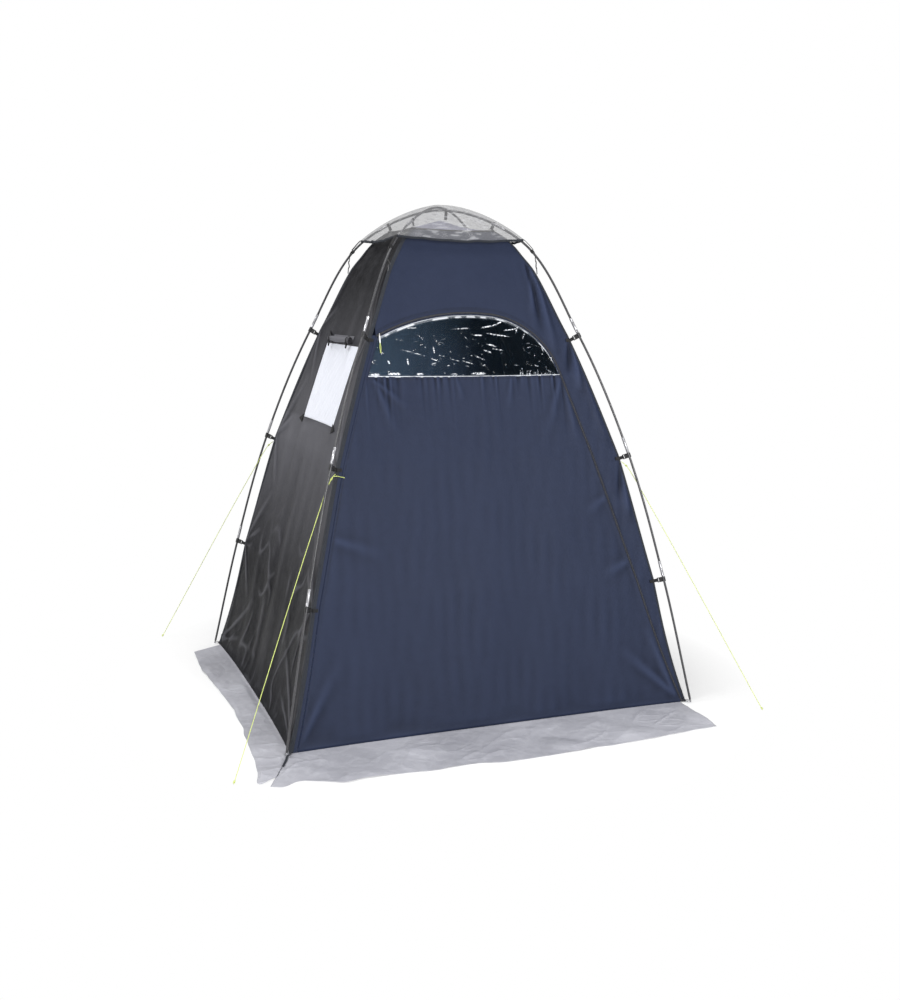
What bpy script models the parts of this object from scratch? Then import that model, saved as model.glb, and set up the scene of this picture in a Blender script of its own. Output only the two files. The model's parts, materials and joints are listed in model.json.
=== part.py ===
"""Cabin tent on two crossing sectioned poles.

Metres, +Z up, the ground is Z = 0 and the crossing stands over the origin.
The front wall faces -Y.  Each named object is one piece of the tent.
"""
import math
from dataclasses import dataclass

import bmesh
import bpy
import numpy as np
from mathutils import Matrix, Vector

# Driving dimensions of the whole tent
CROWN_HEIGHT = 2.05
FOOT_HALF_WIDTH = 0.872
FOOT_HALF_DEPTH = 0.754
POLE_REACH_SHARES = (1.0, 0.881, 0.7356, 0.5382, 0.3067, 0.0)
POLE_HEIGHT_SHARES = (0.0, 0.2555, 0.5075, 0.745, 0.9365, 1.0)

# Poles
ROD_RADIUS = 0.0047
FERRULE_RADIUS = 0.0060
FERRULE_LENGTH = 0.065
FIT_CLEARANCE = 0.0003
POLE_BOTTOM_HEIGHT = 0.014
END_SECTION_LENGTH = 0.588
PIN_BORE_DEPTH = 0.040
SECTIONS_PER_POLE = 9
ROD_SIDES = 8
BEND_RINGS = (15, 9, 5, 5, 5)

# Foot pins and their rings
PIN_RADIUS = 0.0024
PIN_FLOAT = 0.0015
RING_RADIUS = 0.012
RING_WIRE_RADIUS = 0.0018
RING_HEIGHT = 0.0058

# Cloth
CLOTH = 0.0012
SEAM_GAP = 0.0004
FABRIC_STANDOFF = 0.042
WALL_FOOT_HEIGHT = 0.003
WALL_TOP_HEIGHT = 1.955
TOP_EDGE_DIP = 0.032
WALL_HOLLOW = 0.022
BAND_WIDTH = 0.022
NARROW_BAND_WIDTH = 0.006
FOLD_DEPTH = 0.003
FOLD_COUNT = 6
WALL_ROWS = 10
SIDE_COLUMNS = 20

# Pole hooks and their webbing loops
HOOK_NUMBERS = (1, 2, 3)
HOOK_CLEAR = 0.003
HOOK_WALL = 0.0024
HOOK_SLACK = 0.0007
HOOK_LENGTH = 0.020
HOOK_LIP = 0.002
SHANK_HALF_WIDTH = 0.0032
BAR_DISTANCE = 0.0262
BAR_RADIUS = 0.0015
SLOT_DEPTH = 0.0045
SLOT_LENGTH = 0.0150
LOOP_WIDTH = 0.0138
LOOP_BORE_RADIUS = 0.0026
LOOP_WALL = 0.0010
TAB_HALF_THICKNESS = 0.0012

# Door in the front wall, measured on the flat cloth
DOOR_LEFT_INSET = 0.026
ARCH_RADIUS = 0.850
ARCH_TOP = 1.673
ARCH_TURN_X = 0.090
SHOULDER_RADIUS = 0.337
GUSSET_FOOT_WIDTH = 0.012
CORNER_INSET = 0.0020
DOOR_GAP = 0.0006
DOOR_WINDOW_SILL = 1.404
DOOR_WINDOW_INSET = 0.020
ZIP_WIDTH = 0.007
ZIP_THICKNESS = 0.0014
FRONT_COLUMNS = 10
HINGE_TOP_SHARE = 0.8

# Zip slider and puller
SLIDER_LENGTH = 0.016
SLIDER_WIDTH = 0.011
SLIDER_THICKNESS = 0.005
SLIDER_START_X = -0.395
SLIDER_GAP = 0.0007
SLIDER_RISE = 0.0007
SLIDER_NOSE_SHARE = 0.6
SLIDER_TAPER_SHARE = 0.2
LUG_HALF_WIDTH = 0.0052
LUG_WALL = 0.0014
PULL_BAR_HALF = 0.0009
PULL_BAR_HEIGHT = 0.0085
PULL_EYE_RADIUS = 0.0018
PULL_LENGTH = 0.078
PULL_WIDTH = 0.0060
PULL_REST_DEGREES = 4.0

# Side window and its rolled cover
SIDE_WINDOW_WIDTH = 0.430
SIDE_WINDOW_BOTTOM = 1.168
SIDE_WINDOW_TOP = 1.478
WINDOW_CORNER = 0.018
ROLL_RADIUS = 0.0135
ROLL_LENGTH = 0.440
ROLL_TIE_RADIUS = 0.0150
ROLL_TIE_WIDTH = 0.012
ROLL_TIE_OFFSET = 0.165
ROLL_BEND_RINGS = 3
ROLL_RISE = 0.022

# Roof, its hooks and the rain cap
ROOF_PEAK_HEIGHT = 2.003
ROOF_THICKNESS = 0.0010
ROOF_RINGS = 3
ROOF_HOOK_WIDTH = 0.014
ROOF_HOOK_STEP = 0.0105
ROOF_HOOK_BITE = 0.0012
CROWN_HOOK_OFFSET = 0.028
CAP_THICKNESS = 0.0008
CAP_ARC = 0.395
CAP_SAG = 0.012
CAP_RINGS = 6
CAP_COLUMNS = 6
CAP_LIFT = 0.0022

# Rain cap ties
TIE_RADIUS = 0.0012
TIE_SIDE = 0.0088
TIE_LENGTH = 0.150
TIE_POINTS = 18
TIE_CORD_SHARES = ((0.0, -1.0, 0.0), (0.20, -0.9, 0.0), (0.38, -0.7, 0.45), (0.50, -0.1, 1.0),
                   (0.60, 0.25, 1.0))
TIE_HOOK_SHARES = ((0.70, 0.42, 0.5), (0.76, 0.52, -0.35), (0.82, 0.62, 0.45), (0.88, 0.72, -0.35),
                   (0.94, 0.86, 0.1), (1.0, 1.0, 0.0))

# Ground flaps
FLAP_THICKNESS = 0.0014
FLAP_REACH_X = 1.000
FLAP_REACH_Y = 1.055
FLAP_RIPPLE = 0.010
FLAP_RIPPLES = 6
FLAP_RIPPLE_LEAN = 1.5
FLAP_ROWS = 3
FLAP_COLUMNS = 30
FRONT_FLAP_ENDS = (-0.925, 0.820)
FRONT_FLAP_PHASE = 0.4
BACK_FLAP_SEAM_START = -0.600
BACK_FLAP_ENDS = (-0.420, 0.780)
BACK_FLAP_PHASE = 1.1
LEFT_FLAP_SEAM = (-0.695, 0.700)
LEFT_FLAP_ENDS = (-0.955, 0.600)
LEFT_FLAP_PHASE = 0.9
LEFT_FLAP_CURL = 1.5
RIGHT_FLAP_SEAM = (-0.660, 0.700)
RIGHT_FLAP_ENDS = (-0.450, 0.600)
RIGHT_FLAP_PHASE = 2.2

# Guy lines
GUY_RADIUS = 0.0014
GUY_REACH_SHARE = 1.255
GUY_SIDE = 0.0095
GUY_CROSSING = 0.130
GUY_KNOT_DROP = 0.016
GUY_POINTS = 20
GUY_TURN_SHARES = ((0.0, 1.0, 0.0), (0.12, 0.75, 0.30), (0.50, 0.38, 0.95), (1.0, 0.0, 1.0))

# Unit directions of the four corners, as signs of X and Y
CORNERS = {
    "front_left": (-1, -1),
    "front_right": (1, -1),
    "back_left": (-1, 1),
    "back_right": (1, 1),
}
DIAGONAL = math.hypot(FOOT_HALF_WIDTH, FOOT_HALF_DEPTH)
CROSS_HALF_GAP = ROD_RADIUS + FIT_CLEARANCE
CURVE_STEPS = 60
OVERRUN = 0.02
MERGE_DISTANCE = 0.00002

COLOURS = {
    "rod": ((0.045, 0.045, 0.050), 0.45, 0.0),
    "plastic": ((0.015, 0.015, 0.016), 0.45, 0.0),
    "steel": ((0.40, 0.40, 0.42), 0.35, 1.0),
    "navy": ((0.040, 0.052, 0.095), 0.65, 0.0),
    "grey": ((0.042, 0.040, 0.044), 0.40, 0.0),
    "film": ((0.75, 0.80, 0.90), 0.15, 0.0),
    "net": ((0.45, 0.45, 0.55), 0.80, 0.0),
    "flap": ((0.50, 0.50, 0.58), 0.55, 0.0),
    "line": ((0.50, 0.70, 0.12), 0.60, 0.0),
}


# Scene and mesh helpers

def clear_scene():
    """Remove every object that the file starts with."""
    for old in list(bpy.data.objects):
        bpy.data.objects.remove(old, do_unlink=True)


def finish(name):
    """Return the material called name, made once."""
    found = bpy.data.materials.get(name)
    if found:
        return found
    colour, roughness, metallic = COLOURS[name]
    made = bpy.data.materials.new(name)
    made.use_nodes = True
    shader = made.node_tree.nodes["Principled BSDF"]
    shader.inputs["Base Color"].default_value = (*colour, 1.0)
    shader.inputs["Roughness"].default_value = roughness
    shader.inputs["Metallic"].default_value = metallic
    return made


def mesh_from(points, faces):
    """Return a mesh of these points and faces, faces turned outward."""
    mesh = bpy.data.meshes.new("shape")
    mesh.from_pydata([tuple(p) for p in points], [], faces)
    work = bmesh.new()
    work.from_mesh(mesh)
    bmesh.ops.recalc_face_normals(work, faces=work.faces)
    work.to_mesh(mesh)
    work.free()
    return mesh


def place(name, mesh, colour, origin=(0.0, 0.0, 0.0), smooth=False):
    """Link mesh as the object called name, its origin moved to origin."""
    shift = Vector(origin)
    mesh.transform(Matrix.Translation(-shift))
    node = bpy.data.objects.new(name, mesh)
    node.location = shift
    bpy.context.scene.collection.objects.link(node)
    mesh.materials.clear()
    mesh.materials.append(finish(colour))
    if smooth:
        mesh.shade_smooth()
    return node


def combine(base, tool, operation):
    """Return base joined with, cut by or kept inside tool."""
    first = bpy.data.objects.new("base", base)
    second = bpy.data.objects.new("tool", tool)
    for item in (first, second):
        bpy.context.scene.collection.objects.link(item)
    step = first.modifiers.new("step", "BOOLEAN")
    step.object = second
    step.operation = operation
    step.solver = "EXACT"
    view = bpy.context.evaluated_depsgraph_get()
    result = bpy.data.meshes.new_from_object(first.evaluated_get(view))
    bpy.data.objects.remove(first, do_unlink=True)
    bpy.data.objects.remove(second, do_unlink=True)
    return result


def tidy(mesh):
    """Merge doubled points and split wide faces into triangles."""
    work = bmesh.new()
    work.from_mesh(mesh)
    bmesh.ops.remove_doubles(work, verts=work.verts, dist=MERGE_DISTANCE)
    bmesh.ops.triangulate(work, faces=work.faces)
    work.to_mesh(mesh)
    work.free()
    return mesh


def prism(outline, low, high, frame=None):
    """Return a straight prism on a flat outline, from low to high."""
    count = len(outline)
    points = [(a, b, low) for a, b in outline] + [(a, b, high) for a, b in outline]
    if frame is not None:
        points = [frame @ Vector(p) for p in points]
    faces = [tuple(range(count))[::-1], tuple(range(count, 2 * count))]
    for i in range(count):
        j = (i + 1) % count
        faces.append((i, j, count + j, count + i))
    return mesh_from(points, faces)


def ring_prism(outer, inner, low, high, frame):
    """Return a prism on a flat outline with a hole, both with as many points."""
    count = len(outer)
    flat = list(outer) + list(inner)
    points = [frame @ Vector((a, b, low)) for a, b in flat]
    points += [frame @ Vector((a, b, high)) for a, b in flat]
    top = 2 * count
    faces = []
    for i in range(count):
        j = (i + 1) % count
        faces.append((i, count + i, count + j, j))
        faces.append((top + i, top + j, top + count + j, top + count + i))
        faces.append((i, j, top + j, top + i))
        faces.append((count + i, top + count + i, top + count + j, count + j))
    return mesh_from(points, faces)


def sleeve(profile, sides):
    """Return a closed solid of rings along a path.

    profile holds (centre, across, up, radius) for each ring, in order from one
    end round to the other; a radius of zero closes the end.
    """
    points, faces, rings = [], [], []
    for centre, across, up, radius in profile:
        start = len(points)
        if radius == 0.0:
            points.append(centre)
            rings.append([start])
            continue
        for k in range(sides):
            turn = 2.0 * math.pi * (k + 0.5) / sides
            points.append(centre + radius * (math.cos(turn) * across + math.sin(turn) * up))
        rings.append(list(range(start, start + sides)))
    for one, two in zip(rings, rings[1:]):
        if len(one) == 1 and len(two) == 1:
            continue
        for k in range(sides):
            j = (k + 1) % sides
            if len(one) == 1:
                faces.append((one[0], two[j], two[k]))
            elif len(two) == 1:
                faces.append((one[k], one[j], two[0]))
            else:
                faces.append((one[k], one[j], two[j], two[k]))
    return mesh_from(points, faces)


# Pole curve and the cloth's corner curve

def smooth_curve(stations, steps):
    """Return points along a smooth curve through the stations."""
    stations = np.asarray(stations, float)
    gaps = np.linalg.norm(np.diff(stations, axis=0), axis=1)
    slopes = np.diff(stations, axis=0) / gaps[:, None]
    tangents = np.empty_like(stations)
    tangents[0], tangents[-1] = slopes[0], slopes[-1]
    weight = gaps[1:] / (gaps[1:] + gaps[:-1])
    tangents[1:-1] = slopes[:-1] * weight[:, None] + slopes[1:] * (1.0 - weight[:, None])
    share = np.linspace(0.0, 1.0, steps, endpoint=False)[:, None]
    runs = []
    for i, gap in enumerate(gaps):
        a, b = stations[i], stations[i + 1]
        ta, tb = tangents[i] * gap, tangents[i + 1] * gap
        cube, square = share ** 3, share ** 2
        runs.append((2 * cube - 3 * square + 1) * a + (cube - 2 * square + share) * ta
                    + (3 * square - 2 * cube) * b + (cube - square) * tb)
    runs.append(stations[-1:])
    return np.vstack(runs)


@dataclass(frozen=True)
class PolePath:
    """A pole's centre line in its own upright plane, measured along its arc."""

    crown: float

    def line(self):
        """Return (arc, points) from one foot over the crown to the other."""
        heights = [CROWN_HEIGHT * share for share in POLE_HEIGHT_SHARES]
        heights[-1] = self.crown
        leg = [(DIAGONAL * r, z) for r, z in zip(POLE_REACH_SHARES, heights)]
        stations = leg + [(-d, z) for d, z in leg[-2::-1]]
        points = smooth_curve(stations, CURVE_STEPS)
        arc = np.concatenate([[0.0], np.cumsum(np.linalg.norm(np.diff(points, axis=0), axis=1))])
        return arc, points

    def at(self, where):
        """Return (reach, height) at an arc length."""
        arc, points = self.line()
        return np.array([np.interp(where, arc, points[:, 0]), np.interp(where, arc, points[:, 1])])

    def tangent(self, where):
        """Return the unit direction of travel at an arc length."""
        arc, points = self.line()
        step = arc[-1] / len(arc)
        ahead = self.at(min(where + step, arc[-1])) - self.at(max(where - step, 0.0))
        return ahead / np.linalg.norm(ahead)

    def length(self):
        """Return the whole length of the pole."""
        return self.line()[0][-1]


POLES = {
    "pole_a": (PolePath(CROWN_HEIGHT + CROSS_HALF_GAP), CORNERS["front_left"]),
    "pole_b": (PolePath(CROWN_HEIGHT - CROSS_HALF_GAP), CORNERS["front_right"]),
}
LEG_PATH = PolePath(CROWN_HEIGHT)


def section_breaks(path):
    """Return the arc lengths where a pole's sections meet."""
    total = path.length()
    inner = np.linspace(END_SECTION_LENGTH, total - END_SECTION_LENGTH, SECTIONS_PER_POLE - 1)
    start = POLE_BOTTOM_HEIGHT / path.tangent(0.0)[1]
    return [start] + [float(x) for x in inner] + [total - start]


def hook_arc(number):
    """Return the arc length from the foot to a hook, just below a ferrule."""
    return section_breaks(LEG_PATH)[number] - 0.5 * (FERRULE_LENGTH + HOOK_LENGTH) - HOOK_CLEAR


def outward(corner):
    """Return the level unit vector from the middle toward a corner."""
    return Vector((corner[0] * FOOT_HALF_WIDTH, corner[1] * FOOT_HALF_DEPTH, 0.0)) / DIAGONAL


def leg_frame(corner, arc, turned=1, path=LEG_PATH):
    """Return the frame of a leg at an arc length.

    X points from the pole square to it toward the cloth, Z up along the pole,
    Y level along the wall, turned over where turned is -1.
    """
    reach, height = path.at(arc)
    run, rise = path.tangent(arc)
    away = outward(corner)
    up = away * run + Vector((0.0, 0.0, rise))
    inward = away * -rise + Vector((0.0, 0.0, run))
    side = up.cross(inward) * turned
    centre = away * reach + Vector((0.0, 0.0, height))
    frame = Matrix((inward, side, up)).transposed().to_4x4()
    return Matrix.Translation(centre) @ frame


def cloth_corner():
    """Return (height, reach) samples of the cloth's corner edge, going up."""
    arc, points = LEG_PATH.line()
    half = len(points) // 2
    along = np.gradient(points, axis=0)[:half]
    along /= np.linalg.norm(along, axis=1)[:, None]
    inward = np.stack([-along[:, 1], along[:, 0]], axis=1)
    edge = points[:half] + FABRIC_STANDOFF * inward
    keep = edge[:, 1] < WALL_TOP_HEIGHT + OVERRUN
    return edge[keep, 1], edge[keep, 0]


EDGE_HEIGHT, EDGE_REACH = cloth_corner()
FRONT_SHARE = FOOT_HALF_DEPTH / DIAGONAL
SIDE_SHARE = FOOT_HALF_WIDTH / DIAGONAL


def reach_at(height):
    """Return the cloth corner's reach along the diagonal at a height."""
    return np.interp(height, EDGE_HEIGHT, EDGE_REACH)


def top_height(share):
    """Return the height of a wall's hollow top edge at a share of its half width."""
    return WALL_TOP_HEIGHT - TOP_EDGE_DIP * (1.0 - share ** 2)


def hollow(share, rise):
    """Return how far a wall hangs in at shares of its half width and height."""
    return WALL_HOLLOW * np.clip(1.0 - share ** 2, 0.0, 1.0) * np.sin(math.pi * np.clip(rise, 0.0, 1.0))


# Front and back walls: cut flat, then laid on the wall's curve

SLANT_HEIGHT = np.linspace(0.0, WALL_TOP_HEIGHT, 300)
SLANT_RUN = reach_at(SLANT_HEIGHT) * FRONT_SHARE
SLANT = np.concatenate([[0.0], np.cumsum(np.hypot(np.diff(SLANT_HEIGHT), np.diff(SLANT_RUN)))])


def slant_of(height):
    """Return the distance up the front cloth at a height."""
    return np.interp(height, SLANT_HEIGHT, SLANT)


def wall_rows():
    """Return the distances up the cloth of the rows that all walls share."""
    return np.linspace(slant_of(WALL_FOOT_HEIGHT), SLANT[-1], WALL_ROWS + 1)


def half_width(slant):
    """Return the front cloth's half width at a distance up the cloth."""
    return reach_at(np.interp(slant, SLANT, SLANT_HEIGHT)) * SIDE_SHARE


def wall_columns():
    """Return the places across the cloth of the columns of the front and back walls."""
    return np.linspace(-FOOT_HALF_WIDTH, FOOT_HALF_WIDTH, FRONT_COLUMNS + 1)


def faceted_hollow(across, slant):
    """Return the hollow of the front wall, flat on each facet of its grid.

    Each cell is split from its lower left to its upper right, so pieces that
    are cut from the same cloth lie on the same facets.
    """
    rows, columns = wall_rows(), wall_columns()
    grid = hollow(columns[None, :] / half_width(rows)[:, None], rows[:, None] / rows[-1])
    tall, wide = rows[1] - rows[0], columns[1] - columns[0]
    r = np.clip(((slant - rows[0]) / tall).astype(int), 0, len(rows) - 2)
    c = np.clip(((across - columns[0]) / wide).astype(int), 0, len(columns) - 2)
    up = (slant - rows[r]) / tall
    over = (across - columns[c]) / wide
    near, far = grid[r, c], grid[r + 1, c + 1]
    below = near + over * (grid[r, c + 1] - near) + up * (far - grid[r, c + 1])
    above = near + up * (grid[r + 1, c] - near) + over * (far - grid[r + 1, c])
    return np.where(over > up, below, above)


def lay(mesh, facing=-1):
    """Lay a flat pattern (across, up the cloth, out) on the front or back wall."""
    flat = np.array([v.co for v in mesh.vertices])
    rows = wall_rows()
    slant = np.clip(flat[:, 1], rows[0], rows[-1])
    height = np.interp(slant, rows, np.interp(rows, SLANT, SLANT_HEIGHT))
    run = np.interp(slant, rows, np.interp(rows, SLANT, SLANT_RUN))
    lean = np.interp(slant, rows, np.gradient(np.interp(rows, SLANT, SLANT_RUN), rows))
    rise = np.sqrt(1.0 - lean ** 2)
    out = flat[:, 2] - faceted_hollow(flat[:, 0], slant)
    laid = np.stack([flat[:, 0], facing * (run + out * rise), height - out * lean], axis=1)
    mesh.vertices.foreach_set("co", laid.astype(np.float32).ravel())
    mesh.update()
    if facing > 0:
        mesh.flip_normals()
    return mesh


def slab(ss, xs, inner, outer):
    """Return a flat slab with rows at the distances ss and columns at xs."""
    rows, columns = len(ss) - 1, len(xs) - 1
    points = [(x, s, t) for t in (inner, outer) for s in ss for x in xs]
    wide, tall = columns + 1, rows + 1
    layer = wide * tall
    faces = []
    for r in range(rows):
        for c in range(columns):
            a = r * wide + c
            for base in (0, layer):
                faces.append((base + a, base + a + 1, base + a + wide + 1))
                faces.append((base + a, base + a + wide + 1, base + a + wide))
    rim = ([c for c in range(wide)] + [r * wide + columns for r in range(1, tall)]
           + [rows * wide + c for c in range(columns - 1, -1, -1)]
           + [r * wide for r in range(rows - 1, 0, -1)])
    for i, a in enumerate(rim):
        b = rim[(i + 1) % len(rim)]
        faces.append((a, b, layer + b, layer + a))
    return mesh_from(points, faces)


def arc_points(centre_x, centre_y, radius, start, end, count):
    """Return points of an arc, angles in degrees clockwise from straight up."""
    turns = np.radians(np.linspace(start, end, count))
    return [(centre_x + radius * math.sin(a), centre_y + radius * math.cos(a)) for a in turns]


def door_left(slant, grow=0.0):
    """Return X of the door's sewn edge at a distance up the cloth."""
    return DOOR_LEFT_INSET - grow - float(half_width(slant))


def door_outline(grow=0.0, sill=None):
    """Return the door's outline on the flat cloth, clockwise from its lower left.

    grow moves it outward, and sill is the height of its lower edge.
    """
    sill = slant_of(WALL_FOOT_HEIGHT) if sill is None else sill
    turn = math.asin(ARCH_TURN_X / ARCH_RADIUS)
    centre_y = ARCH_TOP - ARCH_RADIUS
    big = ARCH_RADIUS + grow
    left_x = door_left(ARCH_TOP, grow)
    for _ in range(6):
        left_x = door_left(centre_y + math.sqrt(big ** 2 - left_x ** 2), grow)
    small = SHOULDER_RADIUS + grow
    shoulder_x = (ARCH_RADIUS - SHOULDER_RADIUS) * math.sin(turn)
    shoulder_y = centre_y + (ARCH_RADIUS - SHOULDER_RADIUS) * math.cos(turn)
    foot_y = slant_of(WALL_FOOT_HEIGHT)
    foot_x = float(half_width(foot_y)) - GUSSET_FOOT_WIDTH
    away = math.hypot(foot_x + grow - shoulder_x, foot_y - shoulder_y)
    bearing = math.atan2(foot_x + grow - shoulder_x, foot_y - shoulder_y)
    slope = bearing - math.acos(small / away)
    start = math.degrees(math.asin(left_x / big))
    line = arc_points(0.0, centre_y, big, start, math.degrees(turn), 9)[:-1]
    line += arc_points(shoulder_x, shoulder_y, small, math.degrees(turn), math.degrees(slope), 8)
    last_x, last_y = line[-1]
    share = (last_y - sill) / (last_y - foot_y)
    line.append((last_x + share * (foot_x + grow - last_x), sill))
    rows = [sill] + [float(r) for r in wall_rows() if sill < r < line[0][1] - ZIP_WIDTH]
    return [(door_left(r, grow), r) for r in rows] + line


def wall_outline():
    """Return the outline of a whole front or back wall on the flat cloth."""
    rows = wall_rows()
    left = [(CORNER_INSET - float(half_width(s)), float(s)) for s in rows]
    left[0] = (left[0][0], left[0][1] - OVERRUN)
    half = -left[-1][0]
    shares = np.linspace(-1.0, 1.0, FRONT_COLUMNS + 1)[1:-1]
    top = [(half * c, float(slant_of(top_height(c)))) for c in shares]
    return left + top + [(-x, s) for x, s in left[::-1]]


def front_slab(inner=-CLOTH, outer=0.0):
    """Return a flat slab that covers a whole front or back wall."""
    return slab(wall_rows(), wall_columns(), inner, outer)


def cut_flat(outline, operation, base):
    """Cut the base by a prism on an outline, or keep what is inside it."""
    return combine(base, prism(outline, -OVERRUN, OVERRUN), operation)


def ribbon_outline(line, width):
    """Return the outline of a strip along a line, from the line to its right."""
    line = [Vector(p) for p in line]
    far = []
    for i, point in enumerate(line):
        ahead = (line[min(i + 1, len(line) - 1)] - line[max(i - 1, 0)]).normalized()
        far.append(point + width * Vector((ahead.y, -ahead.x)))
    return [(p.x, p.y) for p in line + far[::-1]]


def build_front():
    """Make the front wall, the door, its window and its zip."""
    wall = cut_flat(wall_outline(), "INTERSECT", front_slab())
    wall = cut_flat(door_outline(DOOR_GAP, WALL_FOOT_HEIGHT - OVERRUN), "DIFFERENCE", wall)
    place("front_wall", lay(tidy(wall)), "navy")
    hinge, _ = door_hinge()
    film = door_outline(-DOOR_WINDOW_INSET, DOOR_WINDOW_SILL)
    door = cut_flat(door_outline(), "INTERSECT", front_slab())
    door = cut_flat(film, "DIFFERENCE", door)
    place("door_panel", lay(tidy(door)), "navy", hinge)
    pane = door_outline(-DOOR_WINDOW_INSET - SEAM_GAP, DOOR_WINDOW_SILL + SEAM_GAP)
    place("door_window", lay(tidy(cut_flat(pane, "INTERSECT", front_slab()))), "film", hinge)
    outline = door_outline()
    free = [n for n, (x, s) in enumerate(outline) if x > door_left(s) + SEAM_GAP]
    zip_line = outline[free[0] - 1:]
    strip = front_slab(SEAM_GAP, SEAM_GAP + ZIP_THICKNESS)
    strip = cut_flat(ribbon_outline(zip_line, ZIP_WIDTH), "INTERSECT", strip)
    place("door_zip", lay(tidy(strip)), "plastic", hinge)


def build_back():
    """Make the back wall."""
    wall = cut_flat(wall_outline(), "INTERSECT", front_slab())
    place("back_wall", lay(tidy(wall), facing=1), "navy")


def door_hinge():
    """Return (point, axis) of the door's hinge line, outside its curved sewn edge.

    The line lies in the corner's upright plane and touches the cloth's corner
    where the corner stands out furthest from a straight line.
    """
    low_z, high_z = WALL_FOOT_HEIGHT, WALL_TOP_HEIGHT * HINGE_TOP_SHARE
    heights = np.linspace(low_z, high_z, CURVE_STEPS)
    reaches = reach_at(heights)
    chord = np.interp(heights, (low_z, high_z), (reaches[0], reaches[-1]))
    bulge = float(np.max(reaches - chord))
    away = outward(CORNERS["front_left"])
    foot = away * (float(reaches[0]) + bulge) + Vector((0.0, 0.0, low_z))
    head = away * (float(reaches[-1]) + bulge) + Vector((0.0, 0.0, high_z))
    return foot, (head - foot).normalized()


# Side walls: one loft of level sections, with the corner bindings

def side_point(side, share, height, out, along=0.0):
    """Return a point of a side wall at a share of its half depth and a height."""
    reach = float(reach_at(height))
    rise = height / WALL_TOP_HEIGHT
    swag = 0.0
    if abs(share) < 1.0:
        swag = float(hollow(share, rise))
        fold = math.sin(math.pi * FOLD_COUNT * share) * (1.0 - share ** 2)
        swag += FOLD_DEPTH * fold * max(0.0, 1.0 - rise)
    return Vector((side * (reach * SIDE_SHARE + out - swag), share * reach * FRONT_SHARE + along, height))


def side_section(side, rise, banded=True):
    """Return a level section of a side wall, as pairs of outer and inner points."""
    shares = np.linspace(-1.0, 1.0, SIDE_COLUMNS + 1)
    edge_height = WALL_FOOT_HEIGHT + rise * (WALL_TOP_HEIGHT - WALL_FOOT_HEIGHT)
    shares[1:-1] *= 1.0 - (BAND_WIDTH + CLOTH) / (float(reach_at(edge_height)) * FRONT_SHARE)
    lift = [WALL_FOOT_HEIGHT + rise * (top_height(s) - WALL_FOOT_HEIGHT) for s in shares]
    pairs = [(side_point(side, s, z, 0.0), side_point(side, s, z, -CLOTH)) for s, z in zip(shares, lift)]
    if not banded:
        return pairs
    front = band_section(side, -1.0, rise)
    back = band_section(side, 1.0, rise)
    return front + pairs[1:-1] + back[::-1]


def band_section(side, sign, rise):
    """Return the corner binding's section, from its tip over the next wall inward."""
    reach = float(reach_at(WALL_FOOT_HEIGHT + rise * (WALL_TOP_HEIGHT - WALL_FOOT_HEIGHT)))
    beside_zip = side > 0 and sign < 0
    leg = NARROW_BAND_WIDTH if beside_zip else BAND_WIDTH

    def spot(across, along, share):
        height = WALL_FOOT_HEIGHT + rise * (top_height(share) - WALL_FOOT_HEIGHT)
        edge = side_point(side, sign, height, 0.0)
        return edge + Vector((side * across, sign * along, 0.0))

    def band(across, along):
        over = min(1.0, 1.0 + across / (reach * SIDE_SHARE))
        back = min(1.0, 1.0 + along / (reach * FRONT_SHARE))
        return spot(across, along, min(over, back))

    full = SEAM_GAP + CLOTH
    return [
        (band(-leg, full), band(-leg, SEAM_GAP)),
        (spot(CLOTH, full, 1.0), spot(-CLOTH, SEAM_GAP, 1.0)),
        (band(CLOTH, -BAND_WIDTH), band(-CLOTH, -BAND_WIDTH)),
        (band(0.0, -BAND_WIDTH - SEAM_GAP), band(-CLOTH, -BAND_WIDTH - SEAM_GAP)),
    ]


def loft(sections):
    """Return the closed solid through sections of outer and inner points."""
    rows, count = len(sections), len(sections[0])
    points = [p for section in sections for pair in section for p in pair]

    def spot(row, column, inner):
        return (row * count + column) * 2 + inner

    faces = []
    for r in range(rows - 1):
        for c in range(count - 1):
            for inner in (0, 1):
                faces.append((spot(r, c, inner), spot(r, c + 1, inner),
                              spot(r + 1, c + 1, inner), spot(r + 1, c, inner)))
        for c in (0, count - 1):
            faces.append((spot(r, c, 0), spot(r, c, 1), spot(r + 1, c, 1), spot(r + 1, c, 0)))
    for r in (0, rows - 1):
        for c in range(count - 1):
            faces.append((spot(r, c, 0), spot(r, c + 1, 0), spot(r, c + 1, 1), spot(r, c, 1)))
    return mesh_from(points, faces)


def side_sheet(side, banded=True):
    """Return the whole side wall as one sheet."""
    heights = np.interp(wall_rows(), SLANT, SLANT_HEIGHT)
    rises = (heights - heights[0]) / (heights[-1] - heights[0])
    return loft([side_section(side, float(rise), banded) for rise in rises])


def window_prism(side, grow=0.0):
    """Return the side window's outline run through the wall."""
    half = 0.5 * SIDE_WINDOW_WIDTH + grow
    low, high = SIDE_WINDOW_BOTTOM - grow, SIDE_WINDOW_TOP + grow
    cut = WINDOW_CORNER
    outline = [(-half + cut, low), (half - cut, low), (half, low + cut), (half, high - cut),
               (half - cut, high), (-half + cut, high), (-half, high - cut), (-half, low + cut)]
    turn = Matrix(((0, 0, 1), (1, 0, 0), (0, 1, 0))).to_4x4()
    near, far = sorted((0.0, side * FOOT_HALF_WIDTH))
    return prism(outline, near, far, turn)


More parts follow.
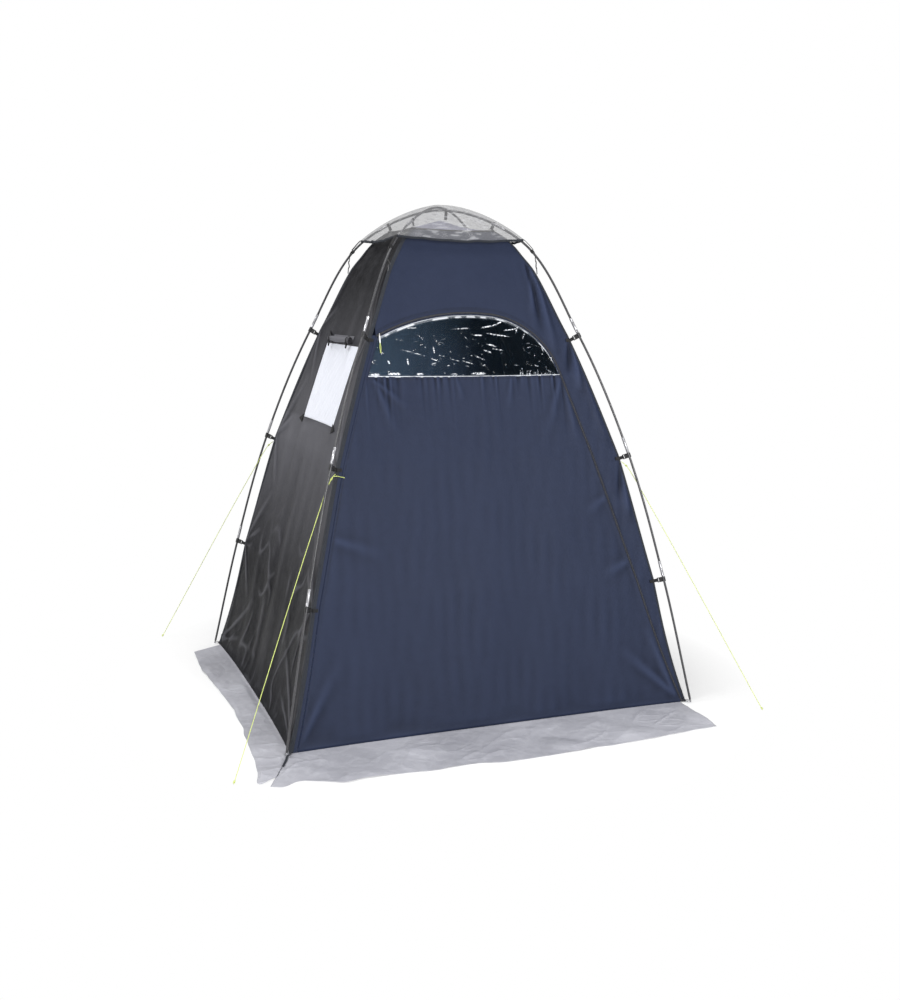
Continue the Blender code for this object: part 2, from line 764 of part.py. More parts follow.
def webbing_loop(frame, bore_at, root_at, width, bore=LOOP_BORE_RADIUS):
    """Return a flat webbing tab whose end is folded into a loop round a bar.

    In the frame, X runs from the loop toward the root and Z along the bar.
    """
    outer_radius = bore + LOOP_WALL
    turns = np.radians(np.arange(30, 331, 30))
    outer = [(root_at, TAB_HALF_THICKNESS)]
    outer += [(bore_at + outer_radius * math.cos(a), outer_radius * math.sin(a)) for a in turns]
    outer += [(root_at, -TAB_HALF_THICKNESS)]
    inner_turns = np.linspace(math.radians(15), math.radians(345), len(outer))
    inner = [(bore_at + bore * math.cos(a), bore * math.sin(a)) for a in inner_turns]
    return ring_prism(outer, inner, -0.5 * width, 0.5 * width, frame)


def pin_frame(corner):
    """Return a level frame at a leg's foot, X inward, Y up, Z along the ground."""
    reach, _ = LEG_PATH.at(0.0)
    away = outward(corner)
    up = Vector((0.0, 0.0, 1.0))
    inward = -away
    side = inward.cross(up)
    frame = Matrix((inward, up, side)).transposed().to_4x4()
    return Matrix.Translation(away * reach) @ frame


def build_sides():
    """Make the side walls with their bindings, webbing loops and foot straps."""
    for name, side in (("left_wall", -1), ("right_wall", 1)):
        wall = side_sheet(side)
        for corner in (c for c in CORNERS.values() if c[0] == side):
            for index in HOOK_NUMBERS:
                frame = leg_frame(corner, hook_arc(index))
                tab = webbing_loop(frame, BAR_DISTANCE, FABRIC_STANDOFF, LOOP_WIDTH)
                wall = combine(wall, tab, "UNION")
            strap = Matrix.Translation((0.0, 0.0, RING_HEIGHT)) @ pin_frame(corner)
            bore = RING_WIRE_RADIUS + 2 * SEAM_GAP
            root = DIAGONAL - float(reach_at(RING_HEIGHT))
            tab = webbing_loop(strap, 2.0 * RING_RADIUS, root, 0.5 * LOOP_WIDTH, bore)
            wall = combine(wall, tab, "UNION")
        if side < 0:
            wall = combine(wall, window_prism(side), "DIFFERENCE")
            pane = combine(side_sheet(side, banded=False), window_prism(side, -SEAM_GAP), "INTERSECT")
            place("side_window", tidy(pane), "film")
        place(name, tidy(wall), "grey")


def roll_centre(along):
    """Return the middle of the rolled cover at a place along the wall."""
    height = SIDE_WINDOW_TOP + ROLL_RISE
    share = along / (float(reach_at(height)) * FRONT_SHARE)
    return side_point(-1, share, height, ROLL_TIE_RADIUS + CLOTH + SEAM_GAP)


def roll_seam():
    """Return the middle of the seam that the rolled cover hangs from."""
    half_depth = float(reach_at(SIDE_WINDOW_TOP)) * FRONT_SHARE
    height = SIDE_WINDOW_TOP + ROLL_RISE + ROLL_TIE_RADIUS
    return side_point(-1, 0.5 * ROLL_LENGTH / half_depth, height, CLOTH)


def build_window_cover():
    """Make the side window's cover, rolled up and held by two ties."""
    half, tie = 0.5 * ROLL_LENGTH, 0.5 * ROLL_TIE_WIDTH
    stops = [(-half, 0.0), (-half, ROLL_RADIUS)]
    for middle in (-ROLL_TIE_OFFSET, ROLL_TIE_OFFSET):
        stops += [(middle - tie - SEAM_GAP, ROLL_RADIUS), (middle - tie, ROLL_TIE_RADIUS),
                  (middle + tie, ROLL_TIE_RADIUS), (middle + tie + SEAM_GAP, ROLL_RADIUS)]
        if middle < 0.0:
            between = np.linspace(middle + tie, -middle - tie, ROLL_BEND_RINGS + 2)[1:-1]
            stops += [(float(y), ROLL_RADIUS) for y in between]
    stops += [(half, ROLL_RADIUS), (half, 0.0)]
    across, up = Vector((1.0, 0.0, 0.0)), Vector((0.0, 0.0, 1.0))
    profile = [(roll_centre(y), across, up, r) for y, r in stops]
    place("window_cover", tidy(sleeve(profile, 12)), "grey", roll_seam())


# Poles, their hooks and foot pins

def pole_ring(path, corner, where, radius, pull=0.0):
    """Return one ring of a pole section at an arc length."""
    reach, height = path.at(where)
    run, rise = path.tangent(where)
    away = outward(corner)
    along = away * run + Vector((0.0, 0.0, rise))
    across = along.cross(away).normalized()
    centre = away * reach + Vector((0.0, 0.0, height)) + along * pull
    return centre, across, across.cross(along), radius


def build_poles():
    """Make every pole section with its ferrule.

    The ferrule is glued on the section's end that faces the crown; the middle
    section is plain.  The next section plugs into its open half.
    """
    half = 0.5 * FERRULE_LENGTH
    bore = ROD_RADIUS + FIT_CLEARANCE
    pin_bore = PIN_RADIUS + FIT_CLEARANCE
    for name, (path, corner) in POLES.items():
        breaks = section_breaks(path)
        total = path.length()
        for number in range(SECTIONS_PER_POLE):
            low, high = breaks[number], breaks[number + 1]
            mirrored = number > SECTIONS_PER_POLE // 2
            middle = number == SECTIONS_PER_POLE // 2
            if mirrored:
                low, high = total - high, total - low

            def ring(where, radius):
                return pole_ring(path, corner, total - where if mirrored else where, radius)

            start = low if number in (0, SECTIONS_PER_POLE - 1) else low + FIT_CLEARANCE
            end = high - FIT_CLEARANCE
            profile = []
            if number in (0, SECTIONS_PER_POLE - 1):
                depth = start + PIN_BORE_DEPTH
                profile += [ring(depth, 0.0), ring(depth, pin_bore), ring(start, pin_bore)]
            else:
                profile += [ring(start, 0.0)]
            profile += [ring(start, ROD_RADIUS)]
            profile += [ring(start + half, ROD_RADIUS)] if start > low else []
            stop = high - half
            bends = np.linspace(start + half, stop, BEND_RINGS[abs(number - SECTIONS_PER_POLE // 2)])
            profile += [ring(float(w), ROD_RADIUS) for w in bends[1:-1]]
            if middle:
                profile += [ring(stop, ROD_RADIUS), ring(end, ROD_RADIUS), ring(end, 0.0)]
            else:
                profile += [ring(stop, ROD_RADIUS), ring(stop, FERRULE_RADIUS), ring(high, FERRULE_RADIUS),
                            ring(high + half, FERRULE_RADIUS), ring(high + half, bore),
                            ring(high, bore), ring(high, 0.0)]
            place(f"{name}_section_{number + 1}", sleeve(profile, ROD_SIDES), "rod", smooth=True)


def hook_mesh():
    """Return one pole hook in its leg frame, open toward +Y."""
    inner = ROD_RADIUS + HOOK_SLACK
    outer = inner + HOOK_WALL
    curl = np.radians(np.arange(180, 361, 30))
    outline = [(outer * math.cos(a), outer * math.sin(a)) for a in curl[:-1]]
    bar_end = BAR_DISTANCE + BAR_RADIUS
    outline += [(outer, -SHANK_HALF_WIDTH), (BAR_DISTANCE, -BAR_RADIUS), (bar_end, -0.5 * BAR_RADIUS),
                (bar_end, 0.5 * BAR_RADIUS), (BAR_DISTANCE, BAR_RADIUS), (outer, HOOK_LIP), (inner, HOOK_LIP)]
    outline += [(inner * math.cos(a), inner * math.sin(a)) for a in curl[::-1]]
    outline += [(-inner, HOOK_LIP), (-outer, HOOK_LIP)]
    body = prism(outline, -0.5 * HOOK_LENGTH, 0.5 * HOOK_LENGTH)
    near, far = BAR_DISTANCE - BAR_RADIUS - SLOT_DEPTH, BAR_DISTANCE - BAR_RADIUS
    slot = [(near, -OVERRUN), (far, -OVERRUN), (far, OVERRUN), (near, OVERRUN)]
    return tidy(combine(body, prism(slot, -0.5 * SLOT_LENGTH, 0.5 * SLOT_LENGTH), "DIFFERENCE"))


def hook_turned(corner):
    """Return the sign that makes a corner's hooks swing off over the side wall."""
    return -corner[0] * corner[1]


def build_hooks():
    """Make the twelve pole hooks, each turning on the bar in its webbing loop."""
    for name, corner in CORNERS.items():
        turned = hook_turned(corner)
        for index in HOOK_NUMBERS:
            frame = leg_frame(corner, hook_arc(index), turned)
            mesh = hook_mesh()
            mesh.transform(frame)
            if turned < 0:
                mesh.flip_normals()
            bar = frame @ Vector((BAR_DISTANCE, 0.0, 0.0))
            place(f"pole_hook_{name}_{index}", mesh, "plastic", bar)


def build_pins():
    """Make the four foot pins with their rings."""
    for name, corner in CORNERS.items():
        path = LEG_PATH
        rise = path.tangent(0.0)[1]
        top = (POLE_BOTTOM_HEIGHT / rise) + PIN_BORE_DEPTH - PIN_FLOAT
        low = PIN_FLOAT
        profile = [pole_ring(path, corner, w, r) for w, r in
                   ((low, 0.0), (low, PIN_RADIUS), (top, PIN_RADIUS), (top, 0.0))]
        pin = tidy(sleeve(profile, ROD_SIDES))
        away = outward(corner)
        reach, _ = path.at(0.0)
        centre = away * (reach - RING_RADIUS) + Vector((0.0, 0.0, RING_HEIGHT))
        points, faces, around, sides = [], [], 12, 6
        for i in range(around):
            a = 2.0 * math.pi * i / around
            spoke = Vector((math.cos(a), math.sin(a), 0.0))
            for k in range(sides):
                b = 2.0 * math.pi * k / sides
                level = Vector((0.0, 0.0, RING_WIRE_RADIUS * math.sin(b)))
                points.append(centre + spoke * (RING_RADIUS + RING_WIRE_RADIUS * math.cos(b)) + level)
        for i in range(around):
            for k in range(sides):
                i2, k2 = (i + 1) % around, (k + 1) % sides
                faces.append((i * sides + k, i2 * sides + k, i2 * sides + k2, i * sides + k2))
        place(f"foot_pin_{name}", tidy(combine(pin, mesh_from(points, faces), "UNION")), "steel")


# Roof net and rain cap

def canopy(rings, peak, thickness):
    """Return a shell from its outer ring up to a peak, thickness measured upright."""
    count = len(rings[0])
    drop = Vector((0.0, 0.0, thickness))
    points = [p for ring in rings for p in ring] + [peak]
    points += [p - drop for p in points]
    below = len(points) // 2
    apex = len(rings) * count
    faces = []
    for base in (0, below):
        for r in range(len(rings) - 1):
            for i in range(count):
                j = (i + 1) % count
                faces.append((base + r * count + i, base + r * count + j,
                              base + (r + 1) * count + j, base + (r + 1) * count + i))
        last = (len(rings) - 1) * count
        for i in range(count):
            faces.append((base + last + i, base + last + (i + 1) % count, base + apex))
    for i in range(count):
        j = (i + 1) % count
        faces.append((i, j, below + j, below + i))
    return mesh_from(points, faces)


CORNER_ROUND = ("front_left", "front_right", "back_right", "back_left")


def roof_rim():
    """Return the points of the roof's edge, just over the walls' hollow tops."""
    rim = []
    for k, name in enumerate(CORNER_ROUND):
        here, there = CORNERS[name], CORNERS[CORNER_ROUND[(k + 1) % 4]]
        for c in range(FRONT_COLUMNS):
            share = -1.0 + 2.0 * c / FRONT_COLUMNS
            height = top_height(share)
            reach = float(reach_at(height))
            mix = 0.5 * (share + 1.0)
            level = [here[i] + mix * (there[i] - here[i]) for i in (0, 1)]
            rim.append(Vector((level[0] * reach * SIDE_SHARE, level[1] * reach * FRONT_SHARE,
                               height + 2.0 * SEAM_GAP + ROOF_THICKNESS)))
    return rim


def path_over(corner):
    """Return the path of the pole that stands in a corner."""
    return POLES["pole_a" if corner[0] * corner[1] > 0 else "pole_b"][0]


def gripping_hook(corner, arc, root, length, bar_radius):
    """Return a hook of webbing that grips a pole and runs in to a root."""
    inner = bar_radius + HOOK_SLACK
    outer = inner + HOOK_WALL
    curl = np.radians(np.arange(180, 361, 30))
    outline = [(outer * math.cos(a), outer * math.sin(a)) for a in curl[:-1]]
    outline += [(outer, -TAB_HALF_THICKNESS), (root, -TAB_HALF_THICKNESS), (root, TAB_HALF_THICKNESS),
                (outer, TAB_HALF_THICKNESS), (inner, HOOK_LIP)]
    outline += [(inner * math.cos(a), inner * math.sin(a)) for a in curl[::-1]]
    outline += [(-inner, HOOK_LIP), (-outer, HOOK_LIP)]
    return prism(outline, -0.5 * length, 0.5 * length, leg_frame(corner, arc, path=path_over(corner)))


def corner_arc(height):
    """Return the arc length of the leg point that the cloth's corner hangs from."""
    arc, points = LEG_PATH.line()
    half = len(points) // 2
    along = np.gradient(points, axis=0)[:half]
    along /= np.linalg.norm(along, axis=1)[:, None]
    edge = points[:half, 1] - FABRIC_STANDOFF * np.abs(along[:, 0])
    return float(np.interp(height, edge, arc[:half]))


def build_roof():
    """Make the net roof with its four corner hooks and the hook at the crossing."""
    rim = roof_rim()
    peak = Vector((0.0, 0.0, ROOF_PEAK_HEIGHT))
    rings = []
    for k in range(ROOF_RINGS):
        share = k / ROOF_RINGS
        rings.append([p.lerp(peak, share) for p in rim])
    roof = canopy(rings, peak, ROOF_THICKNESS)
    arc = corner_arc(WALL_TOP_HEIGHT) + ROOF_HOOK_STEP
    for corner in CORNERS.values():
        root = hook_root(corner, arc, ROOF_HOOK_BITE)
        hook = gripping_hook(corner, arc, root, ROOF_HOOK_WIDTH, FERRULE_RADIUS)
        roof = combine(roof, hook, "UNION")
    crown_arc = 0.5 * LEG_PATH.length() - CROWN_HOOK_OFFSET
    corner = CORNERS["front_right"]
    root = hook_root(corner, crown_arc, ROOF_HOOK_BITE)
    hook = gripping_hook(corner, crown_arc, root, ROOF_HOOK_WIDTH, ROD_RADIUS)
    roof = combine(roof, hook, "UNION")
    place("roof_net", tidy(roof), "net")


def hook_root(corner, arc, bite):
    """Return how far from the pole a hook's root bites into the roof."""
    frame = leg_frame(corner, arc, path=path_over(corner))
    rim_height = WALL_TOP_HEIGHT + 2.0 * SEAM_GAP + ROOF_THICKNESS
    rim_reach = float(reach_at(WALL_TOP_HEIGHT))
    slope = (ROOF_PEAK_HEIGHT - rim_height) / rim_reach
    away = outward(corner)
    centre, inward = frame.to_translation(), frame.to_3x3() @ Vector((1.0, 0.0, 0.0))
    gap = centre.z - rim_height - slope * (rim_reach - centre.dot(away))
    return gap / (-inward.z - slope * inward.dot(away)) + bite


def cap_height_over(arc_from_crown):
    """Return how far the cap lies out from the pole's centre line."""
    share = 1.0 - arc_from_crown / CAP_ARC
    hook = FERRULE_RADIUS + HOOK_SLACK + HOOK_WALL
    return hook + CAP_LIFT + CAP_THICKNESS + CROSS_HALF_GAP * share


def cap_corner(corner, arc_from_crown):
    """Return the cap's point over a leg at an arc length down from the crown."""
    frame = leg_frame(corner, 0.5 * LEG_PATH.length() - arc_from_crown)
    return frame @ Vector((-cap_height_over(arc_from_crown), 0.0, 0.0))


def build_cap():
    """Make the clear rain cap, stretched over the poles from the crown to its hem."""
    rings = []
    for k in range(CAP_RINGS, 0, -1):
        down = CAP_ARC * k / CAP_RINGS
        ring = []
        for n, name in enumerate(CORNER_ROUND):
            here = cap_corner(CORNERS[name], down)
            there = cap_corner(CORNERS[CORNER_ROUND[(n + 1) % 4]], down)
            for c in range(CAP_COLUMNS):
                share = c / CAP_COLUMNS
                sag = CAP_SAG * 4.0 * share * (1.0 - share) * (k / CAP_RINGS) ** 3
                ring.append(here.lerp(there, share) - Vector((0.0, 0.0, sag)))
        rings.append(ring)
    peak = Vector((0.0, 0.0, CROWN_HEIGHT + cap_height_over(0.0)))
    place("rain_cap", canopy(rings, peak, CAP_THICKNESS), "film")


# Cords

def tube(name, route, radius, colour, count, sides=2):
    """Make a cord as a closed tube along a smooth curve through its route."""
    line = smooth_curve([tuple(p) for p in route], CURVE_STEPS)
    arc = np.concatenate([[0.0], np.cumsum(np.linalg.norm(np.diff(line, axis=0), axis=1))])
    stops = np.linspace(0.0, arc[-1], count)
    points = np.stack([np.interp(stops, arc, line[:, i]) for i in range(3)], axis=1)
    curve = bpy.data.curves.new(name, "CURVE")
    curve.dimensions = "3D"
    curve.bevel_depth = radius
    curve.bevel_resolution = sides
    curve.use_fill_caps = True
    spline = curve.splines.new("POLY")
    spline.points.add(count - 1)
    spline.points.foreach_set("co", np.hstack([points, np.ones((count, 1))]).ravel())
    node = bpy.data.objects.new(name, curve)
    bpy.context.scene.collection.objects.link(node)
    curve.materials.append(finish(colour))
    return node


def leg_point(corner, arc, inward, aside):
    """Return a point beside a leg: inward from its pole and aside of it."""
    return leg_frame(corner, arc) @ Vector((inward, aside, 0.0))


def build_ties():
    """Make the rain cap's four elastic ties, each with its S-hook, to the cloth.

    Each step of a route is a share of the way down, of the way in and aside.
    """
    hem = 0.5 * LEG_PATH.length() - CAP_ARC
    out = cap_height_over(CAP_ARC) - 0.5 * CAP_THICKNESS
    root = FABRIC_STANDOFF - (CLOTH + SEAM_GAP) * math.sqrt(2.0) - SEAM_GAP
    for name, corner in CORNERS.items():
        aside = -hook_turned(corner) * TIE_SIDE
        route = []
        for down, inward, side in TIE_CORD_SHARES + TIE_HOOK_SHARES:
            depth = inward * (out if inward < 0.0 else root)
            route.append(leg_point(corner, hem - SEAM_GAP * 2 - down * TIE_LENGTH, depth, side * aside))
        tube(f"cap_tie_{name}", route, TIE_RADIUS, "plastic", TIE_POINTS, sides=1)


def build_guys():
    """Make the four guy lines, from the middle hooks' corners to the ground."""
    arc = hook_arc(HOOK_NUMBERS[1])
    root = FABRIC_STANDOFF - (CLOTH + SEAM_GAP) * math.sqrt(2.0) - SEAM_GAP
    for name, corner in CORNERS.items():
        aside = -hook_turned(corner) * GUY_SIDE
        away = outward(corner)
        knot = arc - GUY_KNOT_DROP
        beside = leg_point(corner, arc, 0.0, aside) - leg_point(corner, arc, 0.0, 0.0)
        anchor = away * DIAGONAL * GUY_REACH_SHARE + beside + Vector((0.0, 0.0, 2.0 * GUY_RADIUS))
        route = [leg_point(corner, knot - down * GUY_CROSSING, inward * root, side * aside)
                 for down, inward, side in GUY_TURN_SHARES]
        tube(f"guy_line_{name}", route + [anchor], GUY_RADIUS, "line", GUY_POINTS)


# Ground flaps

def flap(name, near, far, phase, origin=(0.0, 0.0, 0.0), curl=1.0, lift=0.0):
    """Make a ground flap between its sewn edge and its free edge.

    near and far hold the two ends of each edge as (x, y), and curl bends the
    flap's first end.
    """
    points, faces = [], []
    wide = FLAP_COLUMNS + 1
    seam = WALL_FOOT_HEIGHT - SEAM_GAP - FLAP_THICKNESS
    for layer in (0.0, FLAP_THICKNESS):
        for r in range(FLAP_ROWS + 1):
            v = r / FLAP_ROWS
            first = Vector((near[0][0] + (far[0][0] - near[0][0]) * v,
                            near[0][1] + (far[0][1] - near[0][1]) * v ** curl))
            last = Vector(near[1]).lerp(Vector(far[1]), v)
            for c in range(wide):
                u = c / FLAP_COLUMNS
                level = first.lerp(last, u)
                ends = math.sin(math.pi * u) ** 0.5
                wave = math.sin(2.0 * math.pi * FLAP_RIPPLES * u + phase + FLAP_RIPPLE_LEAN * v)
                height = seam if r == 0 else lift + FLAP_RIPPLE * max(0.0, wave) * v * ends
                points.append(Vector((level.x, level.y, layer + height)))
    below = 0
    above = len(points) // 2
    for r in range(FLAP_ROWS):
        for c in range(FLAP_COLUMNS):
            a = r * wide + c
            faces.append((below + a, below + a + wide, below + a + wide + 1, below + a + 1))
            faces.append((above + a, above + a + 1, above + a + wide + 1, above + a + wide))
    rim = ([c for c in range(wide)] + [r * wide + FLAP_COLUMNS for r in range(1, FLAP_ROWS + 1)]
           + [FLAP_ROWS * wide + c for c in range(FLAP_COLUMNS - 1, -1, -1)]
           + [r * wide for r in range(FLAP_ROWS - 1, 0, -1)])
    for i, a in enumerate(rim):
        b = rim[(i + 1) % len(rim)]
        faces.append((below + a, below + b, above + b, above + a))
    place(name, mesh_from(points, faces), "flap", origin)


def build_flaps():
    """Make the four ground flaps, sewn along the walls' feet."""
    half_x = float(reach_at(WALL_FOOT_HEIGHT)) * SIDE_SHARE
    half_y = float(reach_at(WALL_FOOT_HEIGHT)) * FRONT_SHARE
    hinge, _ = door_hinge()
    seam_x, seam_y = half_x - CLOTH, half_y - CLOTH
    inner_end = half_x - BAND_WIDTH - 2.0 * CLOTH
    flap("front_flap", [(x, -seam_y) for x in (-inner_end, inner_end)],
         [(x, -FLAP_REACH_Y) for x in FRONT_FLAP_ENDS], FRONT_FLAP_PHASE, hinge, lift=SEAM_GAP)
    flap("back_flap", [(x, seam_y) for x in (BACK_FLAP_SEAM_START, inner_end)],
         [(x, FLAP_REACH_Y) for x in BACK_FLAP_ENDS], BACK_FLAP_PHASE)
    flap("left_flap", [(-seam_x, y) for y in LEFT_FLAP_SEAM],
         [(-FLAP_REACH_X, y) for y in LEFT_FLAP_ENDS], LEFT_FLAP_PHASE, curl=LEFT_FLAP_CURL)
    flap("right_flap", [(seam_x, y) for y in RIGHT_FLAP_SEAM],
         [(FLAP_REACH_X, y) for y in RIGHT_FLAP_ENDS], RIGHT_FLAP_PHASE)


# Zip slider and puller

def laid_point(across, up, out=0.0):
    """Return the place on the front wall of a point of the flat cloth."""
    mesh = bpy.data.meshes.new("spot")
    mesh.from_pydata([(across, up, out)], [], [])
    place_now = lay(mesh).vertices[0].co.copy()
    bpy.data.meshes.remove(mesh)
    return place_now


def cloth_frame(across, up, turn=0.0):
    """Return the frame on the front wall: X along the turned cloth, Z outward."""
    step = 0.5 * ZIP_WIDTH
    here = laid_point(across, up)
    ahead = laid_point(across + step * math.cos(turn), up + step * math.sin(turn)) - here
    beside = laid_point(across - step * math.sin(turn), up + step * math.cos(turn)) - here
    ahead.normalize()
    out = ahead.cross(beside).normalized()
    frame = Matrix((ahead, out.cross(ahead), out)).transposed().to_4x4()
    return Matrix.Translation(here) @ frame


def arch_spot(across):
    """Return (across, up, turn) on the middle of the arch's zip."""
    radius = ARCH_RADIUS - 0.5 * ZIP_WIDTH
    drop = math.asin(across / radius)
    return across, ARCH_TOP - ARCH_RADIUS + radius * math.cos(drop), -drop


def slider_joint():
    """Return (centre, axis, degrees) of the slider's run along the arch."""
    middle_x = 0.5 * (SLIDER_START_X + ARCH_TURN_X)
    stops = ((SLIDER_START_X, 0.0), (middle_x, SLIDER_RISE), (ARCH_TURN_X, 0.0))
    a, b, c = (laid_point(*arch_spot(x)[:2], out) for x, out in stops)
    one, two = b - a, c - a
    axis = one.cross(two).normalized()
    square = one.cross(two)
    centre = a + (square.cross(one) * two.length_squared + two.cross(square) * one.length_squared) / (
        2.0 * square.length_squared)
    return centre, axis, math.degrees((a - centre).angle(c - centre))


def build_slider():
    """Make the zip's slider, which runs along the arch, and its hanging puller."""
    across, up, turn = arch_spot(SLIDER_START_X)
    base = SEAM_GAP + ZIP_THICKNESS + SLIDER_GAP
    long, wide = 0.5 * SLIDER_LENGTH, 0.5 * SLIDER_WIDTH
    nose, taper = SLIDER_NOSE_SHARE * wide, SLIDER_TAPER_SHARE * long
    outline = [(-long, -nose), (taper, -wide), (long, -wide), (long, wide), (taper, wide), (-long, nose)]
    body = prism(outline, base, base + SLIDER_THICKNESS, cloth_frame(across, up, turn))
    level = cloth_frame(across, up)
    top = base + PULL_BAR_HEIGHT + PULL_BAR_HALF
    root, floor = base + 0.5 * SLIDER_THICKNESS, base + 0.75 * SLIDER_THICKNESS
    lug = [(-LUG_HALF_WIDTH, root), (LUG_HALF_WIDTH, root), (LUG_HALF_WIDTH, top), (-LUG_HALF_WIDTH, top)]
    slot_half = LUG_HALF_WIDTH - LUG_WALL
    roof = top - 2.0 * PULL_BAR_HALF
    slot = [(-slot_half, floor), (slot_half, floor), (slot_half, roof), (-slot_half, roof)]
    upright = level @ Matrix(((1, 0, 0), (0, 0, 1), (0, 1, 0))).to_4x4()
    lugs = combine(prism(lug, -PULL_BAR_HALF, PULL_BAR_HALF, upright), prism(slot, -OVERRUN, OVERRUN, upright),
                   "DIFFERENCE")
    centre, _, _ = slider_joint()
    place("zip_slider", tidy(combine(body, lugs, "UNION")), "plastic", centre)
    bar = level @ Vector((0.0, 0.0, base + PULL_BAR_HEIGHT))
    hang = Matrix(((0, 0, 1), (-1, 0, 0), (0, -1, 0))).to_4x4()
    tilt = Matrix.Rotation(math.radians(PULL_REST_DEGREES), 4, "Z")
    frame = Matrix.Translation(bar) @ level.to_3x3().to_4x4() @ hang @ tilt
    pull = webbing_loop(frame, 0.0, PULL_LENGTH, PULL_WIDTH, PULL_EYE_RADIUS)
    place("zip_puller", tidy(pull), "line", bar)


def main():
    """Build the whole tent."""
    clear_scene()
    build_poles()
    build_hooks()
    build_pins()
    build_sides()
    build_front()
    build_back()
    build_window_cover()
    build_roof()
    build_cap()
    build_ties()
    build_guys()
    build_flaps()
    build_slider()


main()
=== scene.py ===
"""Looks of the cabin tent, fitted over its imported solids.

Metres, +Z up, the ground is Z = 0 and the two poles cross over the origin.  The
door wall faces -Y and the window wall faces -X.
"""
import json
import logging
import math
from dataclasses import dataclass
from enum import Enum

import bmesh
import bpy
import numpy as np
from mathutils import Matrix, Vector


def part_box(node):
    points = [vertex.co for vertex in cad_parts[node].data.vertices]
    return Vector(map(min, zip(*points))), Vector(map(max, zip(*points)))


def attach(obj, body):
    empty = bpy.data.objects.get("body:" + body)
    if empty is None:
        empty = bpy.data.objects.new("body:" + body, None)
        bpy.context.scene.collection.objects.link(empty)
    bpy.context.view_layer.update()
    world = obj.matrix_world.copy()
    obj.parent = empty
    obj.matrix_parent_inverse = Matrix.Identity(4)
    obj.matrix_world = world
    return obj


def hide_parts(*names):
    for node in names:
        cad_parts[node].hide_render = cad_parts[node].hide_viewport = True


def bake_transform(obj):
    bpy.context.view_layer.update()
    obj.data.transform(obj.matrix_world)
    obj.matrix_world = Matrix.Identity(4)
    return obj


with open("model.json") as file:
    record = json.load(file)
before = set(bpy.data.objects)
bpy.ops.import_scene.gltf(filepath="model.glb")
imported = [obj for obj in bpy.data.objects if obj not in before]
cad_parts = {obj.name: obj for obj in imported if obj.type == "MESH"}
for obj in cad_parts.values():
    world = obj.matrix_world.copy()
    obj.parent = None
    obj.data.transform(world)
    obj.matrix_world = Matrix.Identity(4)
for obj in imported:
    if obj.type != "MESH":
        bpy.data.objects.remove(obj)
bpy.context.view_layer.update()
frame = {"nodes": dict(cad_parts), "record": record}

LOG = logging.getLogger("cabin_tent")
Array = np.ndarray
Point = tuple[float, float, float]
Rows = tuple[tuple[float, ...], ...]

DOWN_ORDER = (1, 2, 3)
ALONG_X, ALONG_Y, UP = np.eye(3)
PAIR = (-1.0, 1.0)
FULL_TURN = 2.0 * math.pi
WAVES = 14
HEM_ROW = (0.016,)


class Corner(Enum):
    """The four corners, as signs of X and Y."""

    FRONT_LEFT = (-1, -1)
    FRONT_RIGHT = (1, -1)
    BACK_LEFT = (-1, 1)
    BACK_RIGHT = (1, 1)

    @property
    def label(self) -> str:
        """Return the corner's name as the solids spell it."""
        return self.name.lower()

    @property
    def next(self) -> "Corner":
        """Return the corner that follows on the way round."""
        return ROUND_ORDER[(ROUND_ORDER.index(self) + 1) % 4]

    @property
    def turned(self) -> int:
        """Return the sign that makes the corner's hooks open over the side wall."""
        return -self.value[0] * self.value[1]


ROUND_ORDER = (Corner.FRONT_LEFT, Corner.FRONT_RIGHT, Corner.BACK_RIGHT, Corner.BACK_LEFT)


class Facing(Enum):
    """The way that a door-type wall looks."""

    FRONT = -1
    BACK = 1


# Curves and fields

def smooth_curve(stations: Array, steps: int) -> Array:
    """Return points along a smooth curve through stations.

    Between two stations the curve is the cubic whose end slopes are the mean of
    the neighbouring chords' slopes, weighted by the opposite chord's length.

    Args:
        stations: Points that the curve passes, one row each.
        steps: Points made in each gap.

    Returns:
        The points, one row each.
    """
    stations = np.asarray(stations, float)
    gaps = np.linalg.norm(np.diff(stations, axis=0), axis=1)
    slopes = np.diff(stations, axis=0) / gaps[:, None]
    tangents = np.empty_like(stations)
    tangents[0], tangents[-1] = slopes[0], slopes[-1]
    weight = gaps[1:] / (gaps[1:] + gaps[:-1])
    tangents[1:-1] = slopes[:-1] * weight[:, None] + slopes[1:] * (1.0 - weight[:, None])
    share = np.linspace(0.0, 1.0, steps, endpoint=False)[None, :, None]
    a, b = stations[:-1, None], stations[1:, None]
    ta, tb = tangents[:-1, None] * gaps[:, None, None], tangents[1:, None] * gaps[:, None, None]
    cube, square = share ** 3, share ** 2
    runs = ((2 * cube - 3 * square + 1) * a + (cube - 2 * square + share) * ta
            + (3 * square - 2 * cube) * b + (cube - square) * tb)
    return np.vstack([runs.reshape(-1, stations.shape[1]), stations[-1:]])


def arc_lengths(points: Array) -> Array:
    """Return the distance along a polyline at each of its points."""
    return np.concatenate([[0.0], np.cumsum(np.linalg.norm(np.diff(points, axis=0), axis=1))])


def resample(points: Array, count: int) -> Array:
    """Return a polyline's points again, evenly spaced along it."""
    arc = arc_lengths(points)
    stops = np.linspace(0.0, arc[-1], count)
    return np.stack([np.interp(stops, arc, points[:, i]) for i in range(points.shape[1])], axis=1)


def eased(stations: object, steps: int, count: int) -> Array:
    """Return evenly spaced points on the smooth curve through stations."""
    return resample(smooth_curve(np.array(stations), steps), count)


def directions(points: Array) -> Array:
    """Return the unit direction of a line at each of its points."""
    along = np.gradient(points, axis=0)
    return along / np.linalg.norm(along, axis=1)[:, None]


